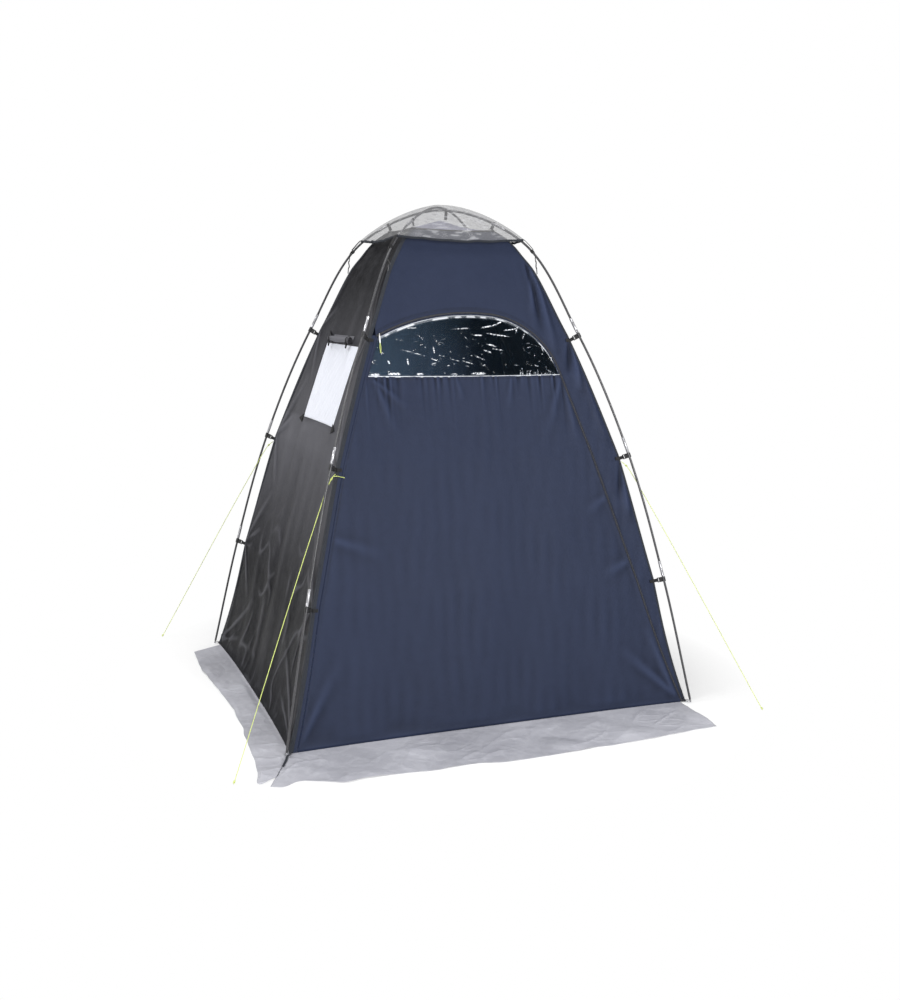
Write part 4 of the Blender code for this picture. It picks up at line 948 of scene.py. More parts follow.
@dataclass(frozen=True)
class CordFinish:
    """Braided cord: two sets of strands that cross on the tube's own map."""

    name: str
    colour: Point
    flecks: Point
    turns: float = 9.0

    def make(self) -> bpy.types.Material:
        """Return the material: strands as slanting bands both ways and a fleck in one of them."""
        s = Shader(self.name)
        rates = [(side * self.turns * 0.5, 260.0, 1.0) for side in (1, -1)]
        one, other = (s.bands(s.place("UV", rate), 1.0, "DIAGONAL") for rate in rates)
        strands = s.sum("MAXIMUM", one, other)
        fuzz = s.noise(s.place(), 400.0, 3.0, 0.7)
        colour = s.blend(s.between(one, 0.75, 0.9, 0.0, 0.6), self.colour, self.flecks)
        colour = s.blend(s.between(fuzz, 0.5, 0.8, 0.0, 0.35), colour, toned(self.colour, 0.6))
        return s.done(Base_Color=colour, Roughness=0.6, Normal=s.bump(strands, 0.0004))


@dataclass(frozen=True)
class SolidFinish:
    """Moulded plastic, drawn rod or metal with fine scratches."""

    name: str
    colour: Point
    rough: float
    metallic: float = 0.0
    grain: float = 140.0
    depth: float = 0.00008
    stretch: Point = (1.0, 1.0, 1.0)

    def make(self) -> bpy.types.Material:
        """Return the material: a fine grain in the normal, the tone and the gloss."""
        s = Shader(self.name)
        here = s.place(scale=self.stretch)
        fine = s.noise(here, self.grain, 4.0, 0.6)
        wear = s.noise(here, self.grain * 0.12, 3.0, 0.6)
        colour = s.blend(s.between(wear, 0.45, 0.75, 0.0, 0.6), self.colour, toned(self.colour, 1.35, 0.015))
        rough = s.between(fine, 0.3, 0.7, self.rough * 0.8, self.rough * 1.25)
        return s.done(Base_Color=colour, Roughness=rough, Metallic=self.metallic, Normal=s.bump(fine, self.depth))


@dataclass(frozen=True)
class ZipFinish:
    """Zip tape with a moulded coil down its middle."""

    name: str
    pitch: float = 0.0022

    def make(self) -> bpy.types.Material:
        """Return the material: bars across the middle third of the tape, woven cloth beside them."""
        s = Shader(self.name)
        tape = s.place("UV")
        across = s.part(tape, "X")
        teeth = s.bands(tape, band_rate(self.pitch), "Y")
        middle = s.sum("LESS_THAN", s.sum("ABSOLUTE", s.sum("SUBTRACT", across, 0.0035), 0.0), 0.0013)
        bars = s.sum("MULTIPLY", teeth, middle)
        nap = s.noise(s.place(), 240.0, 3.0)
        colour = s.blend(s.between(nap, 0.4, 0.7, 0.0, 0.5), (0.012, 0.013, 0.018), (0.03, 0.032, 0.042))
        colour = s.blend(s.sum("MULTIPLY", bars, 0.5), colour, (0.024, 0.026, 0.036))
        rough = s.between(middle, 0.0, 1.0, 0.8, 0.35)
        return s.done(Base_Color=colour, Roughness=rough, Normal=s.bump(bars, 0.0006, 1.0, s.bump(nap, 0.0001)))


class Palette:
    """Every finish of the tent, made once."""

    def __init__(self) -> None:
        """Make the materials."""
        finishes = [
            ClothFinish("navy_cloth", (0.0185, 0.025, 0.05), (0.023, 0.03, 0.057), rough=0.55),
            ClothFinish("grey_cloth", (0.064, 0.064, 0.072), (0.076, 0.076, 0.085), rough=0.4, crinkle=0.0006,
                        lower=(0.095, 0.095, 0.108), painted_shade=(0.005, 0.005, 0.0062), gloss=0.03),
            ClothFinish("cover_cloth", (0.11, 0.11, 0.124), (0.135, 0.135, 0.15), crinkle=0.0008),
            WebbingFinish("binding_tape", (0.024, 0.027, 0.034)),
            WebbingFinish("black_webbing", (0.016, 0.016, 0.017)),
            FilmFinish("window_film", (0.042, 0.075, 0.115), 0.06, 0.1, painted_glint=1.0, crinkle=0.0006, painted_light_left=0.42),
            FilmFinish("milky_film", (0.74, 0.76, 0.83), 1.09, 0.4, crinkle=0.00005),
            FilmFinish("cap_film", (0.26, 0.26, 0.268), 0.4, 0.14, painted_glint=0.25, crinkle=0.0004),
            NetFinish("roof_net", (0.5, 0.5, 0.62)),
            SheetingFinish("sheeting", (0.31, 0.311, 0.346), (0.445, 0.447, 0.49)),
            CordFinish("bright_cord", (0.64, 0.74, 0.18), (0.8, 0.86, 0.42)),
            CordFinish("black_elastic", (0.018, 0.018, 0.018), (0.05, 0.05, 0.05)),
            CordFinish("grey_cord", (0.06, 0.06, 0.065), (0.16, 0.16, 0.17)),
            SolidFinish("rod", (0.05, 0.05, 0.054), 0.3, stretch=(1.0, 1.0, 0.06)),
            SolidFinish("ferrule", (0.44, 0.44, 0.46), 0.34, metallic=0.85, stretch=(1.0, 1.0, 0.1)),
            SolidFinish("black_plastic", (0.014, 0.014, 0.015), 0.4),
            SolidFinish("white_plastic", (0.75, 0.76, 0.78), 0.42),
            SolidFinish("steel", (0.42, 0.42, 0.44), 0.36, metallic=1.0),
            ZipFinish("zip_tape"),
        ]
        self.made = {finish.name: finish.make() for finish in finishes}

    def dress(self, piece: bpy.types.Object, finish: str, body: str = "tent",
              stands_for: tuple[str, ...] = (), turn: tuple[Point, Point] | None = None) -> bpy.types.Object:
        """Give a piece its finish, body, slot and the solids that it stands for.

        Args:
            piece: The object.
            finish: Name of the finish.
            body: Name of the body that it rides on.
            stands_for: Names of the solids that it replaces.
            turn: Two points that are not used; when given, the piece rides on no body and its place is baked into its
                points.

        Returns:
            The piece.
        """
        piece.data.materials.clear()
        piece.data.materials.append(self.made[finish])
        if turn:
            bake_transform(piece)
        else:
            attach(piece, body)
        if stands_for:
            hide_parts(*stands_for)
        LOG.info("%s on %s in %s", piece.name, body, finish)
        return piece


PALETTE = Palette()


# Poles, hooks and pins

@dataclass
class Poles:
    """The two sectioned poles: dark rods, pale ferrules and foot pins."""

    sides: int = 20
    rings: int = 34
    end_steps: tuple[float, float] = (0.0002, 0.0012)
    end_narrowing: float = 0.0007
    ferrule_steps: Rows = ((1.0, -0.0009), (0.985, 0.0), (0.96, 0.0001), (0.94, -0.0002), (0.6, -0.0002),
                           (0.58, -0.0006), (0.55, -0.0002), (0.0, -0.0002))
    pin_radius: float = 0.0024
    pin_depth: float = 0.03
    ring_radius: float = 0.012
    ring_wire: float = 0.0018
    ring_height: float = 0.0058

    def section(self, name: str, curve: PoleCurve, corner: Corner, number: int) -> None:
        """Make one section's rod and its ferrule.

        The rod is a round of constant radius along the pole's curve, drawn in a
        little at its ends; the ferrule is a wider round with rolled lips.
        """
        breaks = curve.breaks()
        low, high = breaks[number], breaks[number + 1]
        inner = np.linspace(low, high, self.rings)[1:-1]
        tip, taper = self.end_steps
        where = np.concatenate([[low + tip, low + taper], inner, [high - taper, high - tip]])
        radii = np.full(len(where), SHAPE.rod)
        radii[[0, -1]] -= self.end_narrowing
        node = f"{name}_section_{number + 1}"
        rod = tube(f"{name}_rod_{number + 1}", curve.space(corner, where), radii, self.sides)
        PALETTE.dress(rod, "rod", stands_for=(node,))
        middle = SHAPE.sections // 2
        if number == middle:
            return
        joint = high if number < middle else low
        near = np.array(self.ferrule_steps)
        far = near[-2::-1]
        where = joint + 0.5 * SHAPE.ferrule_length * np.concatenate([-near[:, 0], far[:, 0]])
        swell = np.concatenate([near[:, 1], far[:, 1]])
        sleeve = tube(f"{name}_ferrule_{number + 1}", curve.space(corner, where), SHAPE.ferrule + swell, self.sides)
        PALETTE.dress(sleeve, "ferrule")

    def pin(self, corner: Corner) -> None:
        """Make a foot pin: a steel spike up the pole's end and a wire ring beside it."""
        top = SHAPE.pole_bottom / float(LEG.tangent(0.0)[1]) + self.pin_depth
        where = np.array([0.0016, 0.0022, 0.0035, 0.01, 0.014, top])
        radii = np.array([0.0009, 0.0018] + [self.pin_radius] * 4)
        spike = tube("spike", LEG.space(corner, where), radii, 16)
        turns = np.linspace(0.0, FULL_TURN, 40, endpoint=False)
        centre = SHAPE.away(corner) * (SHAPE.diagonal - self.ring_radius) + UP * self.ring_height
        round_line = centre + circle(self.ring_radius, turns, ALONG_X, ALONG_Y)
        ring = tube("ring", round_line, self.ring_wire, 12, closed=True)
        boss_line = LEG.space(corner, np.array([0.0095, 0.0105, 0.0125, 0.0135]))
        boss = tube("boss", boss_line, np.array([0.003, 0.0042, 0.0042, 0.003]), 16)
        whole = joined(f"pin_{corner.label}", [spike, ring, boss])
        PALETTE.dress(whole, "steel", stands_for=(f"foot_pin_{corner.label}",))

    def build(self) -> None:
        """Make both poles and the four pins."""
        for name, curve, corner in (("pole_a", POLE_A, Corner.FRONT_LEFT), ("pole_b", POLE_B, Corner.FRONT_RIGHT)):
            for number in range(SHAPE.sections):
                self.section(name, curve, corner, number)
        for corner in Corner:
            self.pin(corner)


@dataclass
class Hooks:
    """The pole hooks and the webbing loops that carry them."""

    loop_width: float = 0.0138
    loop_bore: float = 0.0026
    wall: float = 0.001
    root_depth: float = 0.004
    patch_length: float = 0.021

    def loop(self, corner: Corner, number: int) -> bpy.types.Object:
        """Return one webbing loop: out from the cloth, round the hook's bar and back."""
        origin, axes = leg_frame(corner, hook_arc(number))
        radius = self.loop_bore + 0.5 * self.wall
        bend = np.array([SHAPE.bar, 0.0]) + circle(radius, np.radians(np.linspace(28.0, 332.0, 25)), *np.eye(2))
        start = np.array([[SHAPE.standoff + self.root_depth, 0.0011], [SHAPE.bar + 0.008, 0.001]])
        line = resample(np.vstack([start, bend, start[::-1] * (1.0, -1.0)]), 44)
        points = origin + line[:, :1] * axes[0] + line[:, 1:] * axes[1]
        return strap("loop", points, self.loop_width, self.wall, axes[2])

    def patch(self, corner: Corner, number: int) -> bpy.types.Object:
        """Return the folded webbing end that is sewn over the cloth's corner."""
        origin, axes = leg_frame(corner, hook_arc(number))
        shares = np.linspace(0.0, 1.0, 9)[:, None]
        base = origin + (SHAPE.standoff - 0.0005) * axes[0] + ALONG_Y * corner.value[1] * 0.0034
        leg = base - (ALONG_X * corner.value[0] * self.patch_length + UP * 0.001) * shares
        return strap("patch", leg, self.loop_width, self.wall, axes[2])

    def build(self) -> None:
        """Make the twelve hooks with their webbing."""
        for corner in Corner:
            for number in DOWN_ORDER:
                node = f"pole_hook_{corner.label}_{number}"
                hook = softened(node, f"hook_{corner.label}_{number}", 0.0006, 3)
                PALETTE.dress(hook, "black_plastic", f"hook_{corner.label}_{number}", (node,))
                parts = [self.loop(corner, number), self.patch(corner, number)]
                PALETTE.dress(joined(f"webbing_{corner.label}_{number}", parts), "black_webbing")


# Walls, door and windows

@dataclass
class DoorLines:
    """The door's outline on the flat front cloth, as in the solids."""

    inset: float = 0.026
    radius: float = 0.85
    top: float = 1.673
    turn_x: float = 0.09
    shoulder: float = 0.337
    foot_width: float = 0.012
    sill: float = 1.404

    def left(self, slant: Array, grow: float = 0.0) -> Array:
        """Return X of the sewn edge at distances up the cloth."""
        return self.inset - grow - CLOTH.half(slant)

    def edge(self, grow: float = 0.0, count: int = 60) -> Array:
        """Return the free edge from the sewn edge over the arch to the foot.

        It is an arc of the large radius, an arc of the shoulder's radius that
        leaves it smoothly, and the straight line that touches the shoulder and
        ends beside the right foot.

        Args:
            grow: Distance that the edge moves outward.
            count: Points in each arc.

        Returns:
            Rows of place across and distance up the cloth.
        """
        turn = math.asin(self.turn_x / self.radius)
        centre = self.top - self.radius
        big, small = self.radius + grow, self.shoulder + grow
        x = float(self.left(self.top, grow))
        for _ in range(8):
            x = float(self.left(centre + math.sqrt(big ** 2 - x ** 2), grow))
        step = self.radius - self.shoulder
        sx, sy = step * math.sin(turn), centre + step * math.cos(turn)
        foot_x, foot_y = float(CLOTH.half(CLOTH.foot)) - self.foot_width + grow, CLOTH.foot
        away = math.hypot(foot_x - sx, foot_y - sy)
        slope = math.atan2(foot_x - sx, foot_y - sy) - math.acos(small / away)
        a = np.linspace(math.asin(x / big), turn, count)
        b = np.linspace(turn, slope, count)[1:]
        arch = np.array([0.0, centre]) + circle(big, a, *np.eye(2)[::-1])
        bend = np.array([sx, sy]) + circle(small, b, *np.eye(2)[::-1])
        fall = np.linspace(0.0, 1.0, count)[1:, None]
        line = bend[-1] + fall * (np.array([foot_x, foot_y]) - bend[-1])
        return np.vstack([arch, bend, line])

    def height_at(self, x: Array, grow: float = 0.0) -> Array:
        """Return the free edge's distance up the cloth at places across."""
        line = self.edge(grow)
        return np.interp(x, line[:, 0], line[:, 1])

    def right(self, slant: Array) -> Array:
        """Return X of the free edge's falling side at distances up the cloth."""
        line = self.edge()
        falling = line[int(np.argmax(line[:, 1])):][::-1]
        return np.interp(slant, falling[:, 1], falling[:, 0])


DOOR = DoorLines()


def ribbon(line: Array, width: Array) -> Array:
    """Return a flat ribbon's points: a line moved to its right by each width."""
    along = directions(line)
    return line[None] + width[:, None, None] * np.stack([along[:, 1], -along[:, 0]], axis=1)[None]


def stitch_marks(distance: Array, along: Array, rows: tuple[float, ...], pitch: float = 0.006) -> Array:
    """Return the share of thread at points a distance from an edge, in dashes along it."""
    dash = (np.sin(FULL_TURN * along / pitch) > -0.3).astype(float)
    lines = sum(np.exp(-(((distance - row) / 0.0016) ** 2)) for row in rows)
    return np.clip(lines, 0.0, 1.0) * (0.45 + 0.55 * dash)


def hem_rise(up: Array) -> Array:
    """Return how far a hem's second layer lifts the cloth at distances up from its foot."""
    return 0.0005 * (1.0 - ramp(up, 0.017, 0.02))


@dataclass
class FrontWall:
    """The front wall with its door, window and zip."""

    columns: int = 230
    rows: int = 190
    thick: float = 0.0007
    strip_lengths: int = 18
    rim_row: float = 0.0004
    gap: float = 0.0006
    side_inset: float = 0.002
    gusset_folds: Rows = (
        (0.305, 1.88, 0.375, 1.5, 0.016, 0.0145), (0.285, 1.9, 0.33, 1.56, 0.013, -0.011),
        (0.3, 1.86, 0.29, 1.66, 0.014, 0.0076), (0.448, 1.56, 0.465, 1.33, 0.014, 0.0136),
        (0.44, 1.57, 0.42, 1.4, 0.012, -0.0102), (0.46, 1.52, 0.56, 1.13, 0.016, 0.0119),
        (0.622, 1.06, 0.64, 0.8, 0.013, 0.0127), (0.618, 1.06, 0.6, 0.86, 0.011, -0.0085),
        (0.64, 1.0, 0.72, 0.56, 0.014, 0.0102), (0.752, 0.54, 0.77, 0.26, 0.012, 0.0102))
    zip_section: Rows = ((-0.001, 0.0003), (0.0006, 0.0009), (0.002, 0.001), (0.0026, 0.0018), (0.0035, 0.0021),
                         (0.0044, 0.0018), (0.005, 0.001), (0.0064, 0.0009), (0.0078, 0.0003))
    long_strokes: Rows = (
        (-0.301, 1.514, -0.219, 1.493, 0.003, 0.6), (-0.166, 1.528, -0.164, 1.5, 0.004, 0.9),
        (-0.185, 1.482, -0.144, 1.465, 0.003, 0.7), (-0.282, 1.479, -0.28, 1.453, 0.0045, 1.0),
        (-0.365, 1.47, -0.358, 1.456, 0.005, 1.0), (-0.103, 1.478, -0.06, 1.468, 0.0028, 0.7),
        (-0.047, 1.47, 0.001, 1.456, 0.0028, 0.8), (0.01, 1.49, 0.053, 1.472, 0.0036, 0.9),
        (0.049, 1.515, 0.084, 1.503, 0.0045, 0.9), (0.066, 1.54, 0.11, 1.528, 0.0045, 0.9),
        (0.088, 1.52, 0.135, 1.512, 0.0036, 0.8), (0.01, 1.577, 0.053, 1.575, 0.004, 1.0),
        (0.071, 1.585, 0.175, 1.569, 0.0034, 1.0), (0.049, 1.606, 0.097, 1.616, 0.0048, 1.0),
        (0.097, 1.613, 0.145, 1.634, 0.0044, 1.0), (-0.082, 1.602, 0.001, 1.606, 0.0036, 0.7),
        (-0.278, 1.602, -0.225, 1.606, 0.0034, 0.6), (0.201, 1.585, 0.219, 1.626, 0.004, 0.9),
        (0.302, 1.56, 0.315, 1.503, 0.003, 0.8), (0.332, 1.532, 0.347, 1.49, 0.0034, 0.9),
        (0.23, 1.56, 0.243, 1.59, 0.0034, 0.8), (0.15, 1.596, 0.21, 1.604, 0.004, 0.9),
        (-0.447, 1.413, -0.403, 1.413, 0.006, 1.0), (-0.369, 1.415, -0.317, 1.416, 0.0075, 1.0),
        (-0.249, 1.414, -0.219, 1.416, 0.0065, 1.0), (-0.103, 1.413, -0.073, 1.413, 0.006, 1.0),
        (-0.012, 1.416, 0.051, 1.417, 0.007, 1.0), (-0.15, 1.492, -0.12, 1.488, 0.003, 0.6))
    door_folds: Rows = (
        (0.8, 0.03, 0.56, 0.26, 0.02, 0.005), (0.8, 0.03, 0.69, 0.34, 0.018, 0.0045),
        (-0.8, 0.03, -0.64, 0.33, 0.02, 0.004), (-0.7, 0.8, -0.42, 0.7, 0.022, 0.003),
        (0.38, 1.4, 0.3, 1.15, 0.018, 0.0045), (0.4, 1.38, 0.43, 1.08, 0.016, 0.004),
        (-0.43, 1.395, -0.36, 1.18, 0.016, 0.004), (-0.43, 1.39, -0.3, 1.28, 0.013, 0.0035),
        (0.16, 1.4, 0.14, 1.27, 0.012, 0.003), (-0.08, 1.4, -0.06, 1.3, 0.011, 0.0026),
        (0.64, 0.62, 0.5, 0.56, 0.02, 0.003), (0.56, 0.9, 0.44, 0.82, 0.02, 0.0028))

    def wall_field(self, x: Array, s: Array) -> Array:
        """Return the fixed front cloth's rise: pulled folds and long soft waves."""
        out = fold_sum(self.gusset_folds, x, s)
        out = out + 0.0009 * ripple(x, s, 0.24, 0.55, 11) + 0.0005 * ripple(x, s, 0.05, 0.22, 12) * ramp(x, 0.18, 0.36)
        return out * ramp(CLOTH.half(s) - np.abs(x), 0.0, 0.03)

    def upper(self) -> None:
        """Make the cloth over the arch and beside the door, one column for each place across."""
        line = DOOR.edge(self.gap)
        x0, x1 = float(line[0, 0]), float(line[-1, 0])
        x = x0 + (x1 - x0) * np.linspace(0.0, 1.0, self.columns + 40)
        low = DOOR.height_at(x, self.gap)
        top = float(CLOTH.slant[-1])
        slants = np.linspace(0.0, top, 500)
        side_up = np.interp(-np.abs(x), self.side_inset - CLOTH.half(slants), slants)
        top_up = CLOTH.up(CLOTH.top_height(np.clip(x / float(CLOTH.half(top)), -1.0, 1.0)))
        high = np.maximum(np.minimum(side_up, top_up), low + 0.0015)
        s = low + np.linspace(0.0, 1.0, 120)[:, None] * (high - low)
        x = np.broadcast_to(x, s.shape)
        marks = stitch_marks((s - low) * 0.8, x + s, (0.009, 0.014))
        out = self.wall_field(x, s) * ramp(s - low, 0.0, 0.02)
        points = CLOTH.front(x, s, out)
        wall = grid_mesh("front_cloth", points, stacked(x, s), marks={"stitch": marks, "relief": relief(out, 0.0026)})
        PALETTE.dress(thicken(wall, self.thick), "navy_cloth", stands_for=("front_wall",))

    def strip(self) -> None:
        """Make the narrow strip between the corner and the door's sewn edge, in short lengths.

        Each length's line across its width, from the tent toward the door, is worked out but not used, and the lengths
        do not move with the door.
        """
        top = float(DOOR.edge(self.gap)[0, 1])
        stops = np.linspace(CLOTH.foot, top, self.strip_lengths + 1)
        t = np.linspace(0.0, 1.0, 12)[None, :]
        for number, (low, high) in enumerate(zip(stops[:-1], stops[1:]), start=1):
            rows = np.linspace(low + self.rim_row, high - self.rim_row, 11)
            s = np.concatenate([[low], rows, [high]])[:, None]
            left = self.side_inset - CLOTH.half(s)
            x = left + t * (DOOR.left(s, self.gap) - left)
            points = CLOTH.front(x, s, 0.0)
            strip = grid_mesh(f"front_strip_{number}", points, stacked(x, s))
            middle = len(points) // 2
            start, across = points[middle, 0], points[middle, -1] - points[middle, 0]
            along = points[-1, 0] - points[0, 0]
            across = across - along * (across @ along) / (along @ along)
            PALETTE.dress(thicken(strip, self.thick), "navy_cloth", "door",
                          turn=(tuple(start), tuple(start + across)))

    def door_field(self, x: Array, s: Array) -> Array:
        """Return the door cloth's rise: gathers under the window, long waves and pulled corners."""
        drop = DOOR.sill - s
        phase = 62.0 * x + 2.2 * ripple(x, 0.0 * x, 0.22, 1.0, 21)
        pull = 0.35 + 0.65 * ramp(np.abs(x + 0.02), 0.1, 0.38) + 0.3 * ripple(x, 0.0 * x, 0.15, 1.0, 22)
        reach = 0.02 + 0.028 * (1.0 + ripple(x, 0.0 * x, 0.09, 1.0, 23))
        spread = ramp(ripple(x, 0.0 * x, 0.06, 1.0, 26), -0.4, 0.5)
        fall = np.exp(-np.clip(drop, 0.0, 1.0) / np.clip(reach, 0.01, 0.08))
        gathers = 0.006 * pull * spread * np.cos(phase * 2.6) * fall
        long_folds = 0.0014 * ripple(x, s, 0.3, 1.5, 24) * ramp(drop, 0.02, 0.5)
        return gathers + long_folds + 0.0003 * ripple(x, s, 0.055, 0.3, 25) + fold_sum(self.door_folds, x, s)

    def door(self) -> None:
        """Make the door's cloth below the window, row by row between its two edges."""
        share = 1.0 - (1.0 - np.linspace(0.0, 1.0, self.rows)) ** 1.35
        s = (CLOTH.foot + (DOOR.sill - CLOTH.foot) * share)[:, None]
        left, right = DOOR.left(s), DOOR.right(s)
        x = left + np.linspace(0.0, 1.0, self.columns)[None, :] * (right - left)
        s = np.broadcast_to(s, x.shape)
        near, up = np.minimum(x - left, right - x), s - CLOTH.foot
        out = self.door_field(x, s) * ramp(near, 0.0, 0.03) * ramp(up, 0.0, 0.05) + hem_rise(up)
        marks = stitch_marks(up, x, HEM_ROW) + stitch_marks(near, s, (0.01,))
        marks = marks + stitch_marks(DOOR.sill - s, x, (0.004, 0.01))
        points = CLOTH.front(x, s, out)
        door = grid_mesh("door_cloth", points, stacked(x, s),
                         marks={"stitch": np.clip(marks, 0.0, 1.0), "relief": relief(out, 0.0017)})
        PALETTE.dress(thicken(door, self.thick), "navy_cloth", "door", ("door_panel",))

    def rim(self) -> None:
        """Make the door's narrow cloth rim round the window, up its left side and over the arch."""
        edge = DOOR.edge()
        rising = np.linspace(DOOR.sill, float(edge[0, 1]), 50)[:-1]
        side = np.stack([DOOR.left(rising), rising], axis=1)
        line = np.vstack([side, edge[edge[:, 1] > DOOR.sill - 0.002]])
        keep = np.concatenate([[True], np.linalg.norm(np.diff(line, axis=0), axis=1) > 1e-6])
        line = resample(line[keep], 420)
        width = np.linspace(0.0, 0.0125, 7)
        flat = ribbon(line, width)
        flat[..., 1] = np.maximum(flat[..., 1], DOOR.sill - 0.002)
        width, arc = width[:, None], arc_lengths(line)[None, :]
        rise = 0.0004 + 0.0006 * ripple(arc, 0.0 * arc, 0.03, 1.0, 31) * ramp(width, 0.002, 0.012)
        points = CLOTH.front(flat[..., 0], flat[..., 1], rise)
        marks = stitch_marks(*np.broadcast_arrays(width, arc), (0.0095,))
        rim = grid_mesh("door_rim", points, stacked(width, arc), flip=True, marks={"stitch": marks})
        PALETTE.dress(thicken(rim, 0.0006), "navy_cloth", "door")

    def window(self) -> None:
        """Make the crinkled clear film behind the rim, one column for each place across."""
        edge = DOOR.edge(-0.006)
        rising = np.linspace(DOOR.sill, float(edge[0, 1]), 40)[:-1]
        side = np.stack([DOOR.left(rising, -0.006), rising], axis=1)
        outline = np.vstack([side, edge[edge[:, 1] > DOOR.sill]])
        outline = outline[np.concatenate([[True], np.diff(outline[:, 0]) > 1e-5])]
        t = np.linspace(0.0, 1.0, 470)
        t = 0.35 * (0.5 - 0.5 * np.cos(math.pi * t)) + 0.65 * t
        x = outline[0, 0] + t * (outline[-1, 0] - outline[0, 0])
        high, low = np.interp(x, outline[:, 0], outline[:, 1]), DOOR.sill - 0.004
        s = low + np.linspace(0.0, 1.0, 140)[:, None] * (np.maximum(high, low + 0.001) - low)
        x = np.broadcast_to(x, s.shape)
        slack = 0.0016 * creases(x + 0.4 * s, s, 0.16, 0.09, 41) + 0.0012 * creases(x - 0.7 * s, s, 0.12, 0.08, 42)
        slack = slack + 0.0012 * ripple(x, s, 0.11, 0.08, 43)
        points = CLOTH.front(x, s, -0.001 - slack * ramp(np.minimum(high - s, s - low), 0.0, 0.02))
        film = grid_mesh("door_film", points, stacked(x, s), marks={"painted_glint": self.painted_glints(x, s, high)})
        PALETTE.dress(film, "window_film", "door", ("door_window",))

    def painted_glints(self, x: Array, s: Array, high: Array) -> Array:
        """Return how white the film is painted where glints of light on its crinkles would be.

        Each stroke is a bell across a short line, with pointed ends; the long ones are listed and the small ones are
        drawn at random, most of them to the right.
        """
        strokes = list(self.long_strokes)
        draw = np.random.default_rng(44)
        for _ in range(70):
            x0 = 0.4 - 0.62 * draw.random() ** 1.6
            s0 = DOOR.sill + 0.012 + 0.17 * draw.random()
            turn = draw.normal(-0.45, 0.5)
            long = draw.uniform(0.004, 0.022)
            x1, s1 = x0 + long * math.cos(turn), s0 + long * math.sin(turn)
            strokes.append((x0, s0, x1, s1, draw.uniform(0.0016, 0.003), draw.uniform(0.35, 0.95)))
        for _ in range(34):
            x0 = draw.uniform(0.2, 0.432)
            lean = draw.normal(0.0, 0.004)
            s1 = DOOR.sill + draw.uniform(0.006, 0.026)
            strokes.append((x0, DOOR.sill + 0.001, x0 + lean, s1, 0.0017, draw.uniform(0.4, 1.0)))
        white = np.zeros(x.shape)
        for x0, s0, x1, s1, width, strength in strokes:
            length = math.hypot(x1 - x0, s1 - s0)
            along = ((x - x0) * (x1 - x0) + (s - s0) * (s1 - s0)) / length
            across = ((x - x0) * (s1 - s0) - (s - s0) * (x1 - x0)) / length
            body = np.clip(np.minimum(along, length - along) / (0.25 * length + 0.002) + 0.35, 0.0, 1.0)
            white = np.maximum(white, strength * ramp(body - (across / (0.82 * width)) ** 2, 0.0, 0.8))
        ragged = ramp(ripple(x, s, 0.012, 0.006, 50) + 0.8 * ripple(x, s, 0.03, 0.014, 51), -0.7, 0.5)
        white = white * (0.25 + 0.75 * ragged)
        under = high - s
        # Painted highlights along the bottom seam and inside the arch, where glints would run.
        seam_line = 0.85 * np.exp(-(((s - DOOR.sill - 0.001) / 0.0026) ** 2))
        broad = 0.35 + 0.65 * ramp(ripple(x, 0.5 * s, 0.07, 0.05, 48), -0.6, 0.4)
        arch = np.exp(-(((under - 0.013) / 0.0045) ** 2)) * broad * 0.85
        thin = np.exp(-(((under - 0.0075) / 0.0022) ** 2)) * 0.75
        return np.clip(np.maximum.reduce([white, seam_line, arch, thin]), 0.0, 1.0)

    def zip(self) -> None:
        """Make the zip tape with its coil, along the door's free edge."""
        line = resample(DOOR.edge(count=90), 760)
        width, rise = np.array(self.zip_section).T
        flat = ribbon(line, width)
        points = CLOTH.front(flat[..., 0], np.maximum(flat[..., 1], CLOTH.foot), rise[:, None] + SHAPE.seam)
        tape = grid_mesh("zip_tape", points, stacked(width[:, None], arc_lengths(line)[None, :]), flip=True)
        PALETTE.dress(thicken(tape, 0.0006), "zip_tape", "door", ("door_zip",))

    def build(self) -> None:
        """Make the whole front."""
        self.upper()
        self.strip()
        self.door()
        self.rim()
        self.window()
        self.zip()


@dataclass
class BackWall:
    """The plain back wall."""

    columns: int = 210
    rows: int = 210
    pulled_from: Rows = ((0.54, 0.22), (1.06, 0.2), (1.55, 0.16), (0.03, 0.3))

    def build(self) -> None:
        """Make the cloth, row by row between its two edges, with long soft waves."""
        share = np.linspace(-1.0, 1.0, self.columns)[None, :]
        top = CLOTH.up(CLOTH.top_height(share))
        s = CLOTH.foot + np.linspace(0.0, 1.0, self.rows)[:, None] * (top - CLOTH.foot)
        up, half = s - CLOTH.foot, CLOTH.half(s)
        x = share * (half - 0.002)
        out = 0.0034 * ripple(x, s, 0.19, 1.3, 61) + 0.001 * ripple(x, s, 0.06, 0.3, 62)
        for sign in PAIR:
            for z, run in self.pulled_from:
                s0 = float(CLOTH.up(z))
                x0 = sign * (float(CLOTH.half(s0)) - 0.01)
                out = out + fold_sum(((x0, s0, x0 - sign * run, s0 + 0.1, 0.018, 0.0045),
                                      (x0, s0, x0 - sign * run * 0.8, s0 - 0.12, 0.018, 0.004)), x, s)
        out = out * ramp(half - np.abs(x), 0.0, 0.03) * ramp(up, 0.0, 0.04) + hem_rise(up)
        points = CLOTH.front(x, s, out, Facing.BACK)
        marks = stitch_marks(up, x, HEM_ROW) + stitch_marks(top - s, x, (0.01,))
        wall = grid_mesh("back_cloth", points, stacked(x, s), flip=True,
                         marks={"stitch": np.clip(marks, 0.0, 1.0), "relief": relief(out, 0.0022)})
        PALETTE.dress(thicken(wall, 0.0007), "navy_cloth", stands_for=("back_wall",))


